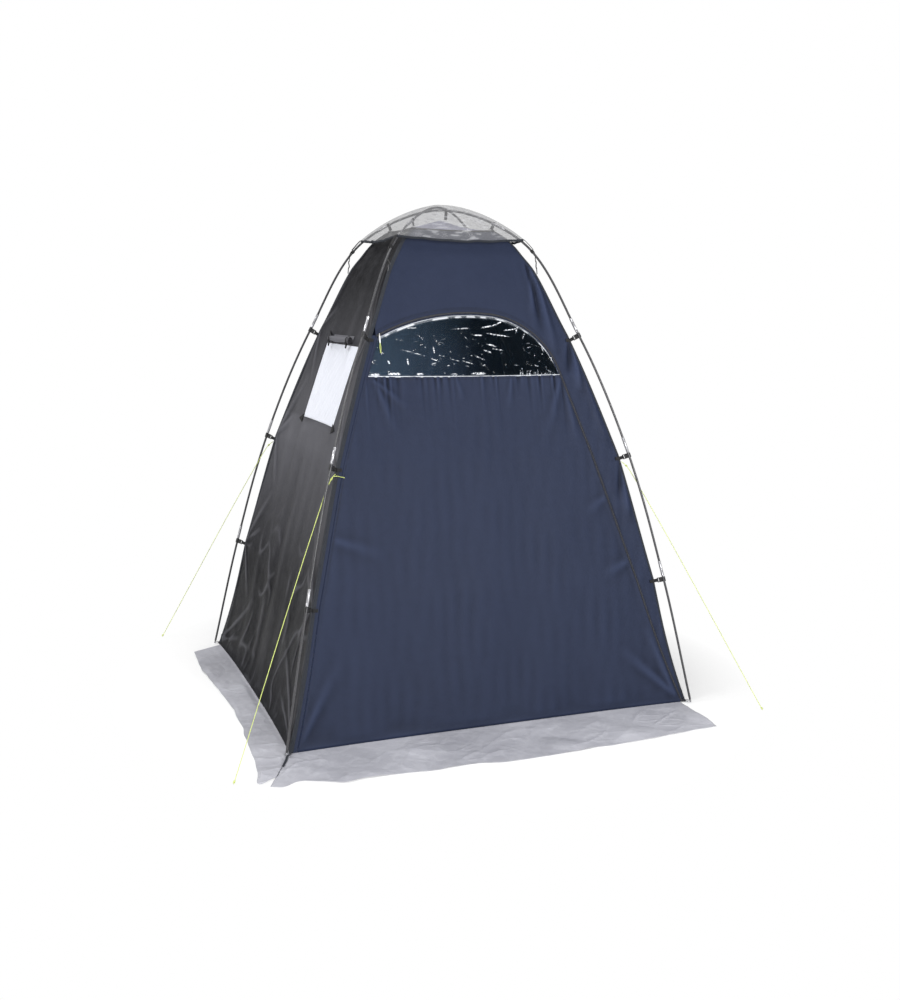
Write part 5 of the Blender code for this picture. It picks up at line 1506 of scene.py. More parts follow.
@dataclass(frozen=True)
class WindowHole:
    """The left wall's window: its half width, middle along Y, and heights."""

    half: float = 0.24
    middle: float = -0.025
    low: float = 1.158
    high: float = 1.478


HOLE = WindowHole()


@dataclass
class SideWall:
    """A side wall; the left one has the window and its rolled cover."""

    side: int
    seam: float = 1.16
    rows: tuple[int, int, int] = (126, 36, 56)
    columns: int = 66
    band_rise: float = 0.0016
    pulled_from: Rows = ((0.03, 0.42), (0.53, 0.26), (1.05, 0.2), (1.54, 0.14))
    strap_line: Rows = ((-0.004, 0.05), (0.0, 0.028), (-0.006, 0.0125), (-0.001, 0.0095), (0.0032, 0.0068),
                        (0.001, 0.003), (-0.003, 0.0022), (-0.008, 0.004), (-0.013, 0.0062))
    strap_tail: Rows = ((-0.862, -0.764, 0.011), (-0.873, -0.78, 0.012), (-0.883, -0.805, 0.011),
                        (-0.896, -0.833, 0.0095), (-0.908, -0.856, 0.007))

    @property
    def name(self) -> str:
        """Return left or right."""
        return "left" if self.side < 0 else "right"

    def rise(self, y: Array, z: Array) -> Array:
        """Return the cloth's rise: upright glossy waves low down, pulled folds from the corners."""
        seed = 70 if self.side < 0 else 80
        lower = ramp(1.2 - z, 0.0, 0.6)
        fan = y * (1.0 + 0.35 * (1.0 - z))
        out = lower * 0.0032 * ripple(fan, z, 0.15, 1.5, seed) * (0.6 + 0.4 * ripple(fan, z, 0.4, 0.8, seed + 1))
        out = out + 0.0016 * ripple(y, z, 0.2, 0.6, seed + 2)
        for sign in PAIR:
            for z0, run in self.pulled_from:
                y0 = sign * (float(CLOTH.reach(z0)) * SHAPE.front_share - 0.01)
                rows = ((y0, z0, y0 - sign * run, z0 + 0.3, 0.02, 0.007),
                        (y0, z0, y0 - sign * run * 0.8, z0 + 0.1, 0.014, 0.005),
                        (y0, z0, y0 - sign * run * 0.7, z0 - 0.24, 0.016, 0.0055))
                out = out + fold_sum(rows if z0 > 0.1 else rows[:2], y, z)
        hard = creases(y + 0.5 * z, z - 0.3 * y, 0.2, 0.34, seed + 3)
        patchy = ramp(ripple(y, z, 0.5, 0.5, seed + 4), -0.2, 0.6)
        return out + 0.005 * hard * patchy * lower * ramp(0.85 - z, 0.0, 0.4)

    def build(self) -> None:
        """Make the wall: rows at heights, columns that keep the window's edges straight."""
        stops = (SHAPE.foot, HOLE.low, HOLE.high, SHAPE.top)
        parts = [np.linspace(a, b, n) for a, b, n in zip(stops[:-1], stops[1:], self.rows)]
        z = np.concatenate([parts[0], parts[1][1:], parts[2][1:]])[:, None]
        half = CLOTH.reach(z) * SHAPE.front_share
        w0, w1 = (np.clip((HOLE.middle + sign * HOLE.half) / half, -0.8, 0.8) for sign in PAIR)
        t = np.linspace(0.0, 1.0, self.columns)[None, :]
        share = np.concatenate([-1.0 + t * (1.0 + w0), w0 + t[:, 1:-1] * (w1 - w0), w1 + t * (1.0 - w1)], axis=1)
        y = share * half
        z = z + (CLOTH.top_height(share) - SHAPE.top) * ramp(z, 1.55, SHAPE.top)
        near, up = half - np.abs(y), z - SHAPE.foot
        out = self.rise(y, z) * ramp(near, 0.0, 0.03) * ramp(up, 0.0, 0.05)
        keep = None
        marks = stitch_marks(up, y, HEM_ROW) + stitch_marks(np.abs(z - self.seam), y, (0.004,))
        if self.side < 0:
            gap = np.maximum.reduce([np.abs(y - HOLE.middle) - HOLE.half, HOLE.low - z, z - HOLE.high])
            out = out * ramp(gap, 0.0, 0.05)
            marks = marks + stitch_marks(gap, y + z, (0.006, 0.011))
            keep = np.ones((z.shape[0] - 1, z.shape[1] - 1), bool)
            first = self.rows[0] - 1
            keep[first:first + self.rows[1] - 1, self.columns - 1:2 * self.columns - 2] = False
        layers = hem_rise(up) + 0.0007 * np.exp(-(((z - self.seam) / 0.006) ** 2))
        points = CLOTH.side(self.side, y, z, out + layers)
        points[..., 0] -= self.side * 0.0009 * (1.0 - ramp(near, 0.018, 0.024))
        wall = grid_mesh(f"{self.name}_cloth", points, stacked(y, z), keep=keep, flip=self.side > 0,
                         marks={"stitch": np.clip(marks, 0.0, 1.0), "relief": relief(out, 0.0022)})
        PALETTE.dress(thicken(wall, 0.0007), "grey_cloth", stands_for=(f"{self.name}_wall",))

    def band(self, sign: int) -> None:
        """Make the tape that binds a corner.

        Its section runs from its tip on the next wall, round the corner on a
        small arc, and back along the side wall.
        """
        leg = 0.0075 if self.side > 0 and sign < 0 else 0.011
        z = np.linspace(SHAPE.foot, SHAPE.top - 0.001, 260)[:, None]
        half_x, half_y = CLOTH.reach(z) * SHAPE.side_share, CLOTH.reach(z) * SHAPE.front_share
        one, two = np.linspace(leg, 0.0005, 8)[None, :], np.linspace(0.0005, 0.022, 8)[None, :]
        facing = Facing.FRONT if sign < 0 else Facing.BACK
        front = CLOTH.front(self.side * (half_x - one), CLOTH.up(z), self.band_rise, facing)
        beside = CLOTH.side(self.side, sign * (half_y - two), z, self.band_rise)
        bend = 0.5 * (front[:, -1:] + beside[:, :1]) + np.array([self.side, sign, 0.0]) * 0.0006
        points = np.concatenate([front, bend, beside], axis=1)
        uv = stacked(arc_lengths(points[100])[None, :], z)
        corner = Corner((self.side, sign))
        tape = grid_mesh(f"binding_{corner.label}", points, uv, flip=self.side * sign > 0)
        PALETTE.dress(thicken(tape, 0.0008), "binding_tape")

    def foot_strap(self, sign: int) -> None:
        """Make the webbing from the cloth's corner through the pin's ring, with its loose tail."""
        corner = Corner((self.side, sign))
        away = SHAPE.away(corner)
        level = np.array([-away[1], away[0], 0.0])
        start = float(CLOTH.reach(0.02)) + 0.014
        line = np.array(self.strap_line)
        line[:, 0] += np.where(np.arange(len(line)) < 2, start, SHAPE.diagonal - 0.024)
        line = eased(line, 8, 60)
        pieces = [strap("strap", line[:, :1] * away + line[:, 1:] * UP, 0.0078, 0.0011, level)]
        if corner is Corner.FRONT_LEFT:
            tail = eased(self.strap_tail, 8, 30)
            pieces.append(strap("tail", tail, 0.0095, 0.0011, np.array([0.9, -0.42, 0.0])))
        PALETTE.dress(joined(f"foot_strap_{corner.label}", pieces), "binding_tape")


@dataclass
class SideWindow:
    """The milky side window, its corner patches and its cover, rolled up over it."""

    roll_radius: float = 0.0125
    roll_half: float = 0.15
    roll_rise: float = 0.022
    roll_out: float = 0.0166
    rounds: float = 5.1
    core: float = 0.0012
    tie_offset: float = 0.132
    tie_radius: float = 0.0142
    tie_width: float = 0.0115

    def pane(self) -> None:
        """Make the film, a flat grid on the wall's curve with a faint slack."""
        y = HOLE.middle + np.linspace(-HOLE.half - 0.002, HOLE.half + 0.002, 90)[None, :]
        z = np.linspace(HOLE.low - 0.002, HOLE.high + 0.002, 70)[:, None]
        near = np.minimum(HOLE.half - np.abs(y - HOLE.middle), np.minimum(z - HOLE.low, HOLE.high - z))
        slack = (0.001 * ripple(y, z, 0.12, 0.2, 101) + 0.0006 * ripple(y, z, 0.03, 0.06, 102)) * ramp(near, 0.0, 0.03)
        points = CLOTH.side(-1, y, z, slack - 0.0006)
        film = grid_mesh("side_film", points, stacked(y, z))
        PALETTE.dress(thicken(film, 0.0004), "milky_film", stands_for=("side_window",))

    def patches(self) -> None:
        """Make the black three-cornered patches sewn over the window's lower corners."""
        pieces = []
        v, u = np.linspace(0.0, 1.0, 9)[:, None], np.linspace(0.0, 1.0, 9)[None, :]
        for sign in PAIR:
            y = HOLE.middle + sign * (HOLE.half - 0.004 + 0.05 * u)
            z = HOLE.low + (v * 0.038 - 0.024) * (1.0 - 0.96 * u) - 0.01 * u
            points = CLOTH.side(-1, y, z, 0.004)
            pieces.append(grid_mesh("patch", points, stacked(u * 0.03, v * 0.03), flip=sign > 0))
        whole = joined("window_patches", pieces)
        PALETTE.dress(thicken(whole, 0.0008), "black_webbing")

    def centre(self, y: Array) -> Array:
        """Return the middle of the roll at places along the wall."""
        return CLOTH.side(-1, y, HOLE.high + self.roll_rise, self.roll_out)

    def cover(self) -> None:
        """Make the cover: a spiral of five turns along the wall and its edge up to the seam.

        The section's angle runs on as its radius grows by the cloth and its
        slack, and the last part leaves the roll toward the wall.
        """
        turns = FULL_TURN * self.rounds
        angle = np.linspace(0.0, turns, 130)[None, :]
        y = np.linspace(-self.roll_half, self.roll_half, 150)
        centre = self.centre(y)[:, None, :]
        y = y[:, None]
        pinch = 1.0 - 0.16 * sum(np.exp(-(((y - m * self.tie_offset) / 0.011) ** 2)) for m in PAIR)
        bulge = 1.0 + 0.07 * ripple(y, angle * 0.004, 0.09, 0.03, 111)
        size = (self.core + (self.roll_radius - self.core) * angle / turns) * pinch * bulge
        shift = turns + math.radians(35.0)
        x = centre[..., 0] + size * np.cos(angle - shift)
        z = centre[..., 2] + size * np.sin(angle - shift)
        roll = stacked(x, y + 0.0035 * np.sin(angle * 0.5), z)
        seam = CLOTH.side(-1, y, HOLE.high + 0.038, 0.0016)
        t = np.linspace(0.0, 1.0, 10)[None, 1:, None]
        grid = np.concatenate([roll, roll[:, -1:] * (1.0 - t) + seam * t], axis=1)
        arc = arc_lengths(grid[75])
        cover = grid_mesh("window_cover_cloth", grid, stacked(y, arc[None, :]))
        PALETTE.dress(thicken(cover, 0.0006, 0.0), "cover_cloth", "rolled_cover", ("window_cover",))

    def ties(self) -> None:
        """Make the two black ties round the roll, each with a toggle and a hanging end."""
        pieces = []
        angle = np.linspace(0.0, FULL_TURN, 41)[:-1]
        down = np.linspace(0.0, 1.0, 12)[:, None]
        across = np.linspace(-0.009, 0.009, 7)[:, None] * ALONG_Y
        for sign in PAIR:
            centre = self.centre(np.array([sign * self.tie_offset]))[0]
            ring = centre + circle(self.tie_radius, angle, ALONG_X, UP)
            pieces.append(strap("tie", ring, self.tie_width, 0.0012, ALONG_Y))
            end = centre + np.array([-0.0092, 0.0, -0.0112]) + down * np.array([-0.003, 0.004, -0.021])
            pieces.append(strap("end", end, self.tie_width, 0.005, ALONG_Y))
            bar = centre + np.array([-0.015, 0.0, -0.0085]) + across
            radii = np.array([0.0012, 0.002, 0.0022, 0.0022, 0.0022, 0.002, 0.0012])
            pieces.append(tube("toggle", bar, radii, 12, first=(1.0, 0.0, 0.0)))
        t = np.linspace(0.0, 1.0, 16)
        out = 0.015 - 0.012 * ramp(t, 0.1, 0.9)
        hold = CLOTH.side(-1, self.roll_half - 0.01 + 0.085 * t, HOLE.high + 0.024 + 0.024 * t, out)
        pieces.append(strap("hold", hold, 0.013, 0.0012, np.array([0.0, -0.27, 0.96])))
        PALETTE.dress(joined("cover_ties", pieces), "black_webbing", "rolled_cover")

    def build(self) -> None:
        """Make the window."""
        self.pane()
        self.patches()
        self.cover()
        self.ties()


# Roof, cap and their fastenings

@dataclass
class Roof:
    """The net roof, its hooks of webbing, and the clear rain cap with its ties."""

    peak: float = 2.003
    cap_arc: float = 0.395
    cap_sag: float = 0.012
    cap_lift: float = 0.0022
    tie_length: float = 0.15
    tie_start: float = 0.0008
    tie_aside: float = 0.0088
    web_line: Rows = ((0.0, 1.0), (0.1, 0.97), (0.2, 0.9), (0.3, 0.82), (0.38, 0.8))
    elastic_line: Rows = ((0.4, -0.45, 0.95), (0.5, -0.1, 1.0), (0.6, 0.25, 1.0), (0.68, 0.4, 0.6))
    s_hook_line: Rows = ((0.66, 0.34, 0.9), (0.68, 0.38, 1.35), (0.72, 0.46, 1.3), (0.745, 0.51, 0.5),
                         (0.775, 0.55, -0.25), (0.8, 0.6, -0.75), (0.84, 0.67, -0.7), (0.86, 0.7, -0.15),
                         (0.845, 0.69, 0.25))
    cord_line: Rows = ((0.845, 0.69, 0.0), (0.9, 0.8, 0.06), (0.96, 0.92, 0.0), (1.0, 1.0, 0.0))

    def net(self) -> None:
        """Make the net: rays from the walls' top edges to the middle, hanging a little between."""
        columns, rings = 192, 40
        share = np.linspace(-1.0, 1.0, columns // 4, endpoint=False)
        height = CLOTH.top_height(share)
        reach = CLOTH.reach(height)
        sides = []
        for corner in ROUND_ORDER:
            here, there = np.array(corner.value), np.array(corner.next.value)
            level = here + 0.5 * (share + 1.0)[:, None] * (there - here)
            sides.append(stacked(level[:, 0] * reach * SHAPE.side_share, level[:, 1] * reach * SHAPE.front_share,
                                 height + 0.0018))
        rim = np.vstack(sides)
        t = np.linspace(0.0, 1.0, rings)[:, None, None]
        middle = np.array([0.0, 0.0, self.peak])
        grid = rim[None] * (1.0 - t) + middle * t
        turns = np.linspace(0.0, 4.0 * FULL_TURN, columns, endpoint=False)
        grid[..., 2] -= 0.01 * np.sin(math.pi * t[..., 0]) * (0.5 + 0.5 * np.cos(turns))[None, :]
        grid[-1] = middle + (grid[-2] - middle) * 0.02
        net = grid_mesh("roof_cloth", grid, grid[..., :2], wrap=True)
        PALETTE.dress(thicken(net, 0.0004), "roof_net", stands_for=("roof_net",))
        hem = tube("roof_hem", rim + UP * 0.0006, 0.003, 10, first=(0.0, 0.0, 1.0), oval=0.45, closed=True)
        PALETTE.dress(hem, "black_webbing")

    def hook(self, name: str, corner: Corner, arc: float, length: float) -> None:
        """Make a webbing strap from the net to a plastic hook on the pole.

        Args:
            name: The hook's name.
            corner: The leg's corner.
            arc: Distance up the pole.
            length: Distance from the pole to the net.
        """
        origin, axes = leg_frame(corner, arc, curve=own_pole(corner))
        curl = circle(SHAPE.rod + 0.0021, np.radians(np.linspace(195.0, 400.0, 30)), *np.eye(2))
        line = resample(np.vstack([curl, [[0.013, 0.0]]]), 34)
        points = origin + line[:, :1] * axes[0] + line[:, 1:] * axes[1]
        grip = strap("grip", points, 0.011, 0.0022, axes[2])
        t = np.linspace(0.0, 1.0, 12)[:, None]
        web = origin + (0.01 + (length - 0.01) * t) * axes[0]
        band = strap("web", web, 0.0135, 0.0014, axes[2])
        PALETTE.dress(joined(name, [grip, band]), "black_webbing")

    def hooks(self) -> None:
        """Make the four corner hooks and the one beside the crossing."""
        half = len(LEG.arc) // 2
        along = directions(LEG.points)[:half]
        edge = LEG.points[:half, 1] - SHAPE.standoff * np.abs(along[:, 0])
        arc = float(np.interp(SHAPE.top, edge, LEG.arc[:half])) - 0.014
        for corner in Corner:
            self.hook(f"roof_hook_{corner.label}", corner, arc, 0.026)
        self.hook("roof_hook_crown", Corner.FRONT_RIGHT, 0.5 * LEG.length - 0.028, 0.04)

    def over(self, down: Array) -> Array:
        """Return how far the cap lies out from the pole's line at distances from the crown."""
        share = 1.0 - down / self.cap_arc
        return SHAPE.ferrule + 0.0007 + 0.0024 + self.cap_lift + 0.0008 + SHAPE.cross_gap * share

    def cap_corner(self, corner: Corner, down: float) -> Array:
        """Return the cap's point over a leg at a distance down from the crown."""
        origin, axes = leg_frame(corner, 0.5 * LEG.length - down)
        return origin - float(self.over(down)) * axes[0]

    def cap(self) -> None:
        """Make the film: straight between the poles, slack at its hem, rippled from its corners."""
        rings, columns = 40, 44
        downs = self.cap_arc * np.linspace(1.0, 0.02, rings)
        corners = np.array([[self.cap_corner(c, float(d)) for c in ROUND_ORDER] for d in downs])
        share = np.linspace(0.0, 1.0, columns, endpoint=False)[None, None, :, None]
        here, there = corners[:, :, None], np.roll(corners, -1, axis=1)[:, :, None]
        grid = here + share * (there - here)
        bow = 4.0 * share[..., 0] * (1.0 - share[..., 0])
        level = (downs / self.cap_arc)[:, None, None]
        grid[..., 2] -= self.cap_sag * bow * level ** 3
        fan = np.arange(4)[None, :, None] + share[..., 0]
        grid[..., 2] += 0.0022 * ripple(fan * 0.3, level * 0.05, 0.035, 0.09, 121) * np.sqrt(bow) * level
        grid = grid.reshape(rings, 4 * columns, 3)
        # Painted highlights: white marks along the ripples stand in for glints on the cap.
        painted_glint = (ramp(ripple(fan * 0.3, level * 0.3, 0.05, 0.02, 122), 0.45, 0.9) * bow).reshape(rings, 4 * columns)
        uv = np.concatenate([grid, grid[-1:]], axis=0)[..., :2]
        peak = grid[-1].mean(axis=0)
        grid = np.concatenate([grid, peak + (grid[-1:] - peak) * 0.02], axis=0)
        painted_glint = np.concatenate([painted_glint, painted_glint[-1:]], axis=0)
        film = grid_mesh("cap_film", grid, uv, wrap=True, marks={"painted_glint": painted_glint})
        PALETTE.dress(film, "cap_film", stands_for=("rain_cap",))
        rim = resample(np.vstack([grid[0], grid[0, :1]]), 241)[:-1] - UP * 0.003
        hem = tube("cap_hem", rim, 0.0048, 10, first=(0.0, 0.0, 1.0), oval=0.28, closed=True)
        PALETTE.dress(hem, "binding_tape")

    def tie(self, corner: Corner) -> None:
        """Make one tie: webbing down the pole to a hook, thin elastic, an S hook and a cord end."""
        hem = 0.5 * LEG.length - self.cap_arc
        turned = -corner.turned
        aside = turned * self.tie_aside
        out = float(self.over(self.cap_arc)) - 0.0004
        root = SHAPE.root

        def spots(rows: Rows, side: float) -> Array:
            """Return points from rows: share of the tie down from the hem, inward, and to the side."""
            frames = [leg_frame(corner, hem - self.tie_start - self.tie_length * row[0]) for row in rows]
            return np.array([origin + row[1] * axes[0] + row[2] * side * axes[1]
                             for row, (origin, axes) in zip(rows, frames)])

        _, axes = leg_frame(corner, hem)
        web = spots([(d, -out * i, 0.0) for d, i in self.web_line], 0.0)
        flat = strap("web", eased(web, 6, 24), 0.012, 0.0012, axes[1])
        origin, axes = leg_frame(corner, hem - self.tie_start - self.tie_length * 0.4)
        curl = origin + circle(SHAPE.rod + 0.002, np.radians(np.linspace(150.0, -130.0, 34)), -axes[0],
                               axes[1] * turned)
        whole = joined(f"cap_web_{corner.label}", [flat, strap("grip", curl, 0.011, 0.0024, axes[2])])
        PALETTE.dress(whole, "black_webbing", stands_for=(f"cap_tie_{corner.label}",))
        elastic = spots([(d, i * (out if i < 0 else root), s) for d, i, s in self.elastic_line], aside)
        line = tube(f"cap_elastic_{corner.label}", eased(elastic, 10, 40), 0.0018, 10)
        PALETTE.dress(line, "black_elastic")
        bend = spots([(d, i * root, s) for d, i, s in self.s_hook_line], 0.0062 * turned)
        hook = tube(f"cap_s_hook_{corner.label}", eased(bend, 10, 60), 0.0023, 12)
        PALETTE.dress(hook, "black_plastic")
        end = spots([(d, i * root, s) for d, i, s in self.cord_line], aside)
        cord = tube(f"cap_cord_{corner.label}", eased(end, 8, 20), 0.0021, 10)
        PALETTE.dress(cord, "grey_cord")

    def build(self) -> None:
        """Make the roof and the cap."""
        self.net()
        self.hooks()
        self.cap()
        for corner in Corner:
            self.tie(corner)


@dataclass
class GuyLines:
    """The four guy lines with their knots."""

    radius: float = 0.0014
    side: float = 0.0095
    crossing: float = 0.13
    knot_drop: float = 0.016
    reach_share: float = 1.255
    knot_radius: float = 0.0026
    knot_length: float = 0.0085
    knot_cord: float = 0.0013
    first_steps: Rows = ((0.0, 1.0, 0.0), (0.12, 0.75, 0.3), (0.5, 0.38, 0.95), (1.0, 0.0, 1.0))
    tail_line: Rows = ((0.0, -0.003, 0.0), (0.012, -0.006, 0.001), (0.026, -0.0085, -0.002), (0.042, -0.009, -0.006))

    def route(self, corner: Corner) -> Array:
        """Return the line's points from its knot beside the pole to the ground, on a smooth curve."""
        arc = hook_arc(2)
        aside = -corner.turned * self.side
        points = []
        for down, inward, share in self.first_steps:
            origin, axes = leg_frame(corner, arc - self.knot_drop - down * self.crossing)
            points.append(origin + inward * SHAPE.root * axes[0] + share * aside * axes[1])
        _, axes = leg_frame(corner, arc)
        anchor = SHAPE.away(corner) * SHAPE.diagonal * self.reach_share + aside * axes[1]
        anchor[2] = 2.0 * self.radius
        return eased(points + [anchor], 60, 90)

    def knot(self, centre: Array, along: Array, tail: Array | None) -> list[bpy.types.Object]:
        """Return the turns of a knot at a point, and its loose end.

        The turns are three rounds about the line, each a cord's width on.
        """
        share = np.linspace(0.0, 1.0, 70)
        along = along / np.linalg.norm(along)
        one = np.cross(along, UP)
        one /= np.linalg.norm(one)
        climb = (share - 0.5) * self.knot_length
        turns = circle(self.knot_radius, 3.0 * FULL_TURN * share, one, np.cross(along, one))
        pieces = [tube("turns", centre + turns + climb[:, None] * along, self.knot_cord, 8, first=tuple(one))]
        if tail is not None:
            pieces.append(tube("tail", tail, self.knot_cord, 10))
        return pieces

    def build(self) -> None:
        """Make the lines."""
        for corner in Corner:
            points = self.route(corner)
            line = tube(f"guy_{corner.label}", points, self.radius, 12)
            node = f"guy_line_{corner.label}"
            PALETTE.dress(line, "bright_cord", stands_for=(node,))
            tail = None
            if corner is Corner.FRONT_LEFT:
                tail = eased(points[1] + np.array(self.tail_line), 8, 30)
            knot = joined(f"guy_knot_{corner.label}", self.knot(points[2], points[3] - points[1], tail))
            PALETTE.dress(knot, "bright_cord")
            last = points[-1] + (points[-3] - points[-1]) * 0.25 + UP * 0.0016
            foot = joined(f"guy_end_{corner.label}", self.knot(last, points[-1] - points[-3], None))
            PALETTE.dress(foot, "bright_cord")


@dataclass
class Flap:
    """One ground flap between its sewn edge and its uneven free edge."""

    name: str
    body: str
    seam: Rows
    free: Rows
    seed: int
    size: tuple[float, float]

    def build(self) -> None:
        """Make the sheeting: rows from the seam to the free edge, rumpled and lying on the ground."""
        columns, rows = 330, 76
        near = resample(np.array(self.seam), columns)
        far = eased(self.free, 20, columns)
        draw = arc_lengths(far)
        along = directions(far)
        inner = ramp(draw, 0.0, 0.05) * ramp(draw[-1] - draw, 0.0, 0.05)
        shift = 0.002 * ripple(draw, 0.0 * draw, 0.15, 1.0, self.seed) * inner
        far = far + shift[:, None] * np.stack([along[:, 1], -along[:, 0]], axis=1)
        share = np.linspace(0.0, 1.0, rows)[:, None]
        flat = near[None] + share[..., None] * (far - near)[None]
        x, y = flat[..., 0], flat[..., 1]
        hard = creases(x + 0.5 * y, y - 0.5 * x, 0.34, 0.2, self.seed + 1)
        cross = creases(x - 0.8 * y, y + 0.6 * x, 0.22, 0.16, self.seed + 2)
        soft = ripple(x, y, 0.3, 0.24, self.seed + 3)
        patchy = 0.25 + 0.75 * ramp(ripple(x, y, 0.4, 0.4, self.seed + 5), -0.3, 0.7)
        rumple = 0.0042 * hard * patchy + 0.0022 * cross * patchy + 0.0055 * np.clip(soft, 0.0, 2.0)
        rumple = rumple + 0.0004 * (1.0 + ripple(x, y, 0.05, 0.05, self.seed + 4))
        lift = 0.0008 + rumple * ramp(share, 0.02, 0.3) * (0.45 + 0.55 * ramp(1.0 - share, 0.0, 0.16))
        z = lift * ramp(share, 0.0, 0.08) + 0.0028 * (1.0 - ramp(share, 0.0, 0.1))
        points = stacked(x, y, z)
        facing = np.cross(points[0, 1] - points[0, 0], points[1, 0] - points[0, 0])
        uv = stacked(arc_lengths(near)[None, :], share * 0.3)
        sheet = grid_mesh(f"{self.name}_sheet", points, uv, flip=bool(facing[2] < 0.0))
        PALETTE.dress(thicken(sheet, 0.0004), "sheeting", self.body, (self.name,))


def ground_flaps() -> list[Flap]:
    """Return the four flaps, their free edges chosen along the photographed ones."""
    x, y = 0.838, 0.725
    front = ((-0.985, -0.998), (-0.948, -1.014), (-0.88, -0.984), (-0.807, -1.015), (-0.731, -1.05), (-0.646, -1.042),
             (-0.552, -1.043), (-0.375, -1.055), (-0.25, -1.05), (-0.107, -1.074), (0.039, -1.072), (0.271, -1.062),
             (0.511, -1.053), (0.685, -1.034), (0.815, -1.028))
    left = ((-0.95, -0.932), (-0.964, -0.942), (-1.014, -0.966), (-1.002, -0.874), (-0.983, -0.633), (-0.967, -0.395),
            (-0.963, -0.196), (-0.98, 0.104), (-0.999, 0.354), (-0.995, 0.54), (-0.99, 0.64))
    right = ((0.992, 0.62), (0.999, 0.38), (0.985, 0.16), (0.97, -0.06), (0.982, -0.26), (0.996, -0.46))
    back = ((-0.44, 1.046), (-0.24, 1.06), (0.02, 1.052), (0.28, 1.064), (0.52, 1.05), (0.79, 1.04))
    front_seam = ((-x - 0.018, -y - 0.014), (-x + 0.1, -y), (x - 0.006, -y))
    left_seam = ((-x - 0.019, -y - 0.018), (-x, -y + 0.12), (-x, y - 0.12), (-x - 0.014, y - 0.008))
    return [
        Flap("front_flap", "door", front_seam, front, 201, (1.86, 0.36)),
        Flap("left_flap", "tent", left_seam, left, 211, (1.64, 0.2)),
        Flap("right_flap", "tent", ((x, y - 0.025), (x, -0.66)), right, 221, (1.42, 0.18)),
        Flap("back_flap", "tent", ((-0.6, y), (x - 0.024, y)), back, 231, (1.45, 0.36)),
    ]


@dataclass
class ZipPull:
    """The zip's slider with its white sleeve and bright cord loop."""

    def build(self) -> None:
        """Dress the slider and make the pull that hangs from it."""
        slider = softened("zip_slider", "zip_slider_body", 0.0005, 2)
        PALETTE.dress(slider, "black_plastic", "slider", ("zip_slider",))
        low, high = (np.array(corner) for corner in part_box("zip_puller"))
        middle = 0.5 * (low[0] + high[0])
        bar = np.array([middle, self.bar_y(), high[2] - 0.0028])
        foot = np.array([middle, low[1] + 0.0022, low[2] + 0.004])
        down = foot - bar
        length = float(np.linalg.norm(down))
        down /= length
        eye = bar + circle(0.003, np.radians(np.linspace(-60.0, 240.0, 26)), np.cross(ALONG_X, down), -down)
        sleeve_line = bar + np.linspace(0.0042, 0.036, 14)[:, None] * down
        widths = np.array([0.0016, 0.0028] + [0.0031, 0.0031, 0.0029, 0.0031, 0.0029, 0.0031, 0.0029] + [0.0031] * 3
                          + [0.0027, 0.0016])
        sleeve = joined("pull_sleeve", [tube("sleeve", sleeve_line, widths, 16, first=(1.0, 0.0, 0.0), oval=0.62),
                                        tube("eye", eye, 0.0011, 10, first=(1.0, 0.0, 0.0))])
        PALETTE.dress(sleeve, "white_plastic", "puller", ("zip_puller",))
        t = np.linspace(0.0, 1.0, 30)[:, None]
        strands = []
        for sign in PAIR:
            spread = sign * 0.0022 * np.sin(math.pi * t)
            line = bar + (0.034 + (length - 0.038) * t) * down + spread * ALONG_X
            strands.append(tube("strand", line, 0.0012, 10, first=(0.0, 1.0, 0.0)))
        ball = bar + np.linspace(length - 0.006, length, 7)[:, None] * down
        radii = np.array([0.001, 0.0021, 0.0026, 0.0027, 0.0026, 0.002, 0.0008])
        strands.append(tube("ball", ball, radii, 12, first=(1.0, 0.0, 0.0)))
        PALETTE.dress(joined("pull_cord", strands), "bright_cord", "puller")

    @staticmethod
    def bar_y() -> float:
        """Return Y of the bar that the pull turns on."""
        joints = {joint["name"]: joint for joint in frame["record"]["behaviour"]["joints"]}
        return float(joints["puller_swing"]["pos_m"][1])


# Stage, lights and camera

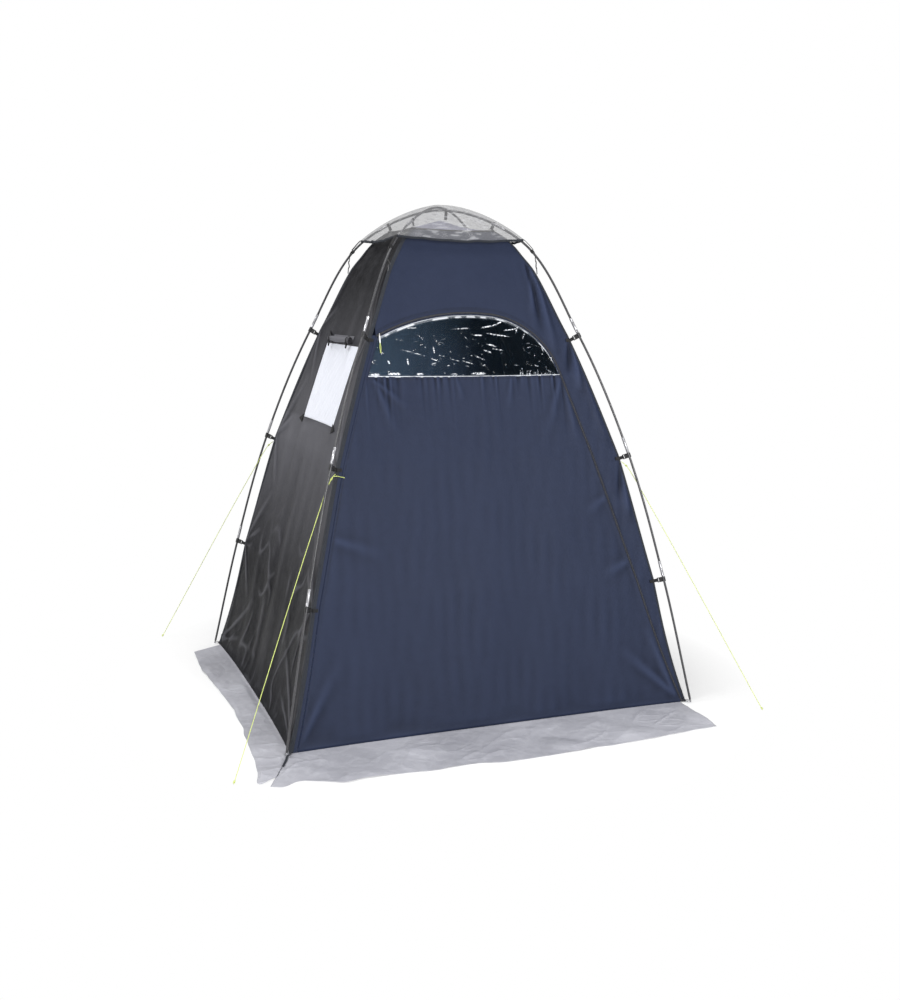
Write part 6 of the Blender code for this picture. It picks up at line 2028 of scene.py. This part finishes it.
@dataclass
class Studio:
    """A pale floor, soft light and the camera at the photograph's angle."""

    place: Point = (-1.773, -4.664, 1.65)
    yaw: float = 21.46
    pitch: float = 9.76
    roll: float = 0.72
    lens: float = 40.93

    def camera(self) -> None:
        """Set the camera: its axes follow from the yaw, the downward pitch and the roll."""
        yaw, pitch, roll = (math.radians(a) for a in (self.yaw, self.pitch, self.roll))
        forward = np.array([math.sin(yaw) * math.cos(pitch), math.cos(yaw) * math.cos(pitch), -math.sin(pitch)])
        level = np.array([math.cos(yaw), -math.sin(yaw), 0.0])
        up = np.cross(level, forward)
        right = math.cos(roll) * level + math.sin(roll) * up
        top = -math.sin(roll) * level + math.cos(roll) * up
        data = bpy.data.cameras.new("camera")
        data.lens, data.sensor_width = self.lens, 36.0
        camera = linked("camera", data)
        matrix = Matrix(np.stack([right, top, -forward], axis=1).tolist()).to_4x4()
        camera.matrix_world = Matrix.Translation(self.place) @ matrix
        bpy.context.scene.camera = camera

    def world(self) -> None:
        """Set an even white sky, at full strength to camera and transmission rays and at 0.42 for all other rays."""
        world = bpy.data.worlds.new("sky")
        world.use_nodes = True
        tree = world.node_tree
        back = tree.nodes["Background"]
        path = tree.nodes.new("ShaderNodeLightPath")
        seen = tree.nodes.new("ShaderNodeMath")
        seen.operation = "MAXIMUM"
        tree.links.new(path.outputs["Is Camera Ray"], seen.inputs[0])
        tree.links.new(path.outputs["Is Transmission Ray"], seen.inputs[1])
        level = tree.nodes.new("ShaderNodeMapRange")
        tree.links.new(seen.outputs[0], level.inputs["Value"])
        level.inputs["To Min"].default_value = 0.42
        level.inputs["To Max"].default_value = 1.0
        back.inputs["Color"].default_value = (1.0, 1.0, 1.0, 1.0)
        tree.links.new(level.outputs["Result"], back.inputs["Strength"])
        bpy.context.scene.world = world

    def lamp(self, name: str, place: Point, aim: Point, size: float, power: float) -> None:
        """Add a square soft lamp at a place, aimed at a point."""
        data = bpy.data.lights.new(name, "AREA")
        data.shape = "SQUARE"
        data.size, data.energy = size, power
        lamp = linked(name, data)
        turn = (Vector(aim) - Vector(place)).to_track_quat("-Z", "Y")
        lamp.matrix_world = Matrix.Translation(place) @ turn.to_matrix().to_4x4()

    def floor(self) -> None:
        """Lay the floor: pale round the tent, plain white to the camera farther off."""
        mesh = bpy.data.meshes.new("floor")
        corners = [(x * 40.0, y * 40.0, -0.0005) for x, y in ((-1, -1), (1, -1), (1, 1), (-1, 1))]
        mesh.from_pydata(corners, [], [(0, 1, 2, 3)])
        floor = linked("floor", mesh)
        s = Shader("pale_floor")
        s.done(Base_Color=(0.93, 0.93, 0.93, 1.0), Roughness=0.9, Specular_IOR_Level=0.1)
        far = s.node("ShaderNodeVectorMath", Vector=s.place(scale=(0.93, 0.88, 0.0)))
        far.operation = "LENGTH"
        share = s.between(far.outputs["Value"], 0.95, 1.32)
        path = s.node("ShaderNodeLightPath")
        seen = s.sum("MAXIMUM", path.outputs["Is Camera Ray"], path.outputs["Is Transmission Ray"])
        factor = s.sum("MULTIPLY", share, seen)
        white = s.node("ShaderNodeEmission", Color=(1.0, 1.0, 1.0, 1.0), Strength=1.0)
        mix = s.node("ShaderNodeMixShader", Fac=factor)
        s.tree.links.new(s.surface.outputs[0], mix.inputs[1])
        s.tree.links.new(white.outputs[0], mix.inputs[2])
        s.tree.links.new(mix.outputs[0], s.tree.nodes["Material Output"].inputs["Surface"])
        mesh.materials.append(s.material)

    def build(self) -> None:
        """Set the stage."""
        scene = bpy.context.scene
        scene.view_settings.view_transform = "Standard"
        self.camera()
        self.world()
        self.floor()
        self.lamp("key", (0.6, -6.8, 2.6), (0.0, 0.0, 0.8), 2.2, 330.0)
        self.lamp("top", (-0.6, -0.4, 5.6), (0.0, 0.0, 0.6), 3.0, 110.0)
        self.lamp("side", (-4.8, -0.6, 4.4), (-0.6, 0.0, 0.5), 1.6, 150.0)
        self.lamp("back", (-2.9, 6.2, 2.0), (-0.7, 0.0, 1.0), 0.6, 5.0)


def main() -> None:
    """Build every piece in order."""
    logging.basicConfig(level=logging.INFO, format="%(name)s: %(message)s")
    Studio().build()
    GuyLines().build()
    Poles().build()
    Hooks().build()
    FrontWall().build()
    BackWall().build()
    for side in (-1, 1):
        wall = SideWall(side)
        wall.build()
        for sign in (-1, 1):
            wall.band(sign)
            wall.foot_strap(sign)
    SideWindow().build()
    Roof().build()
    for flap in ground_flaps():
        flap.build()
    ZipPull().build()


if __name__ == "__main__":
    main()
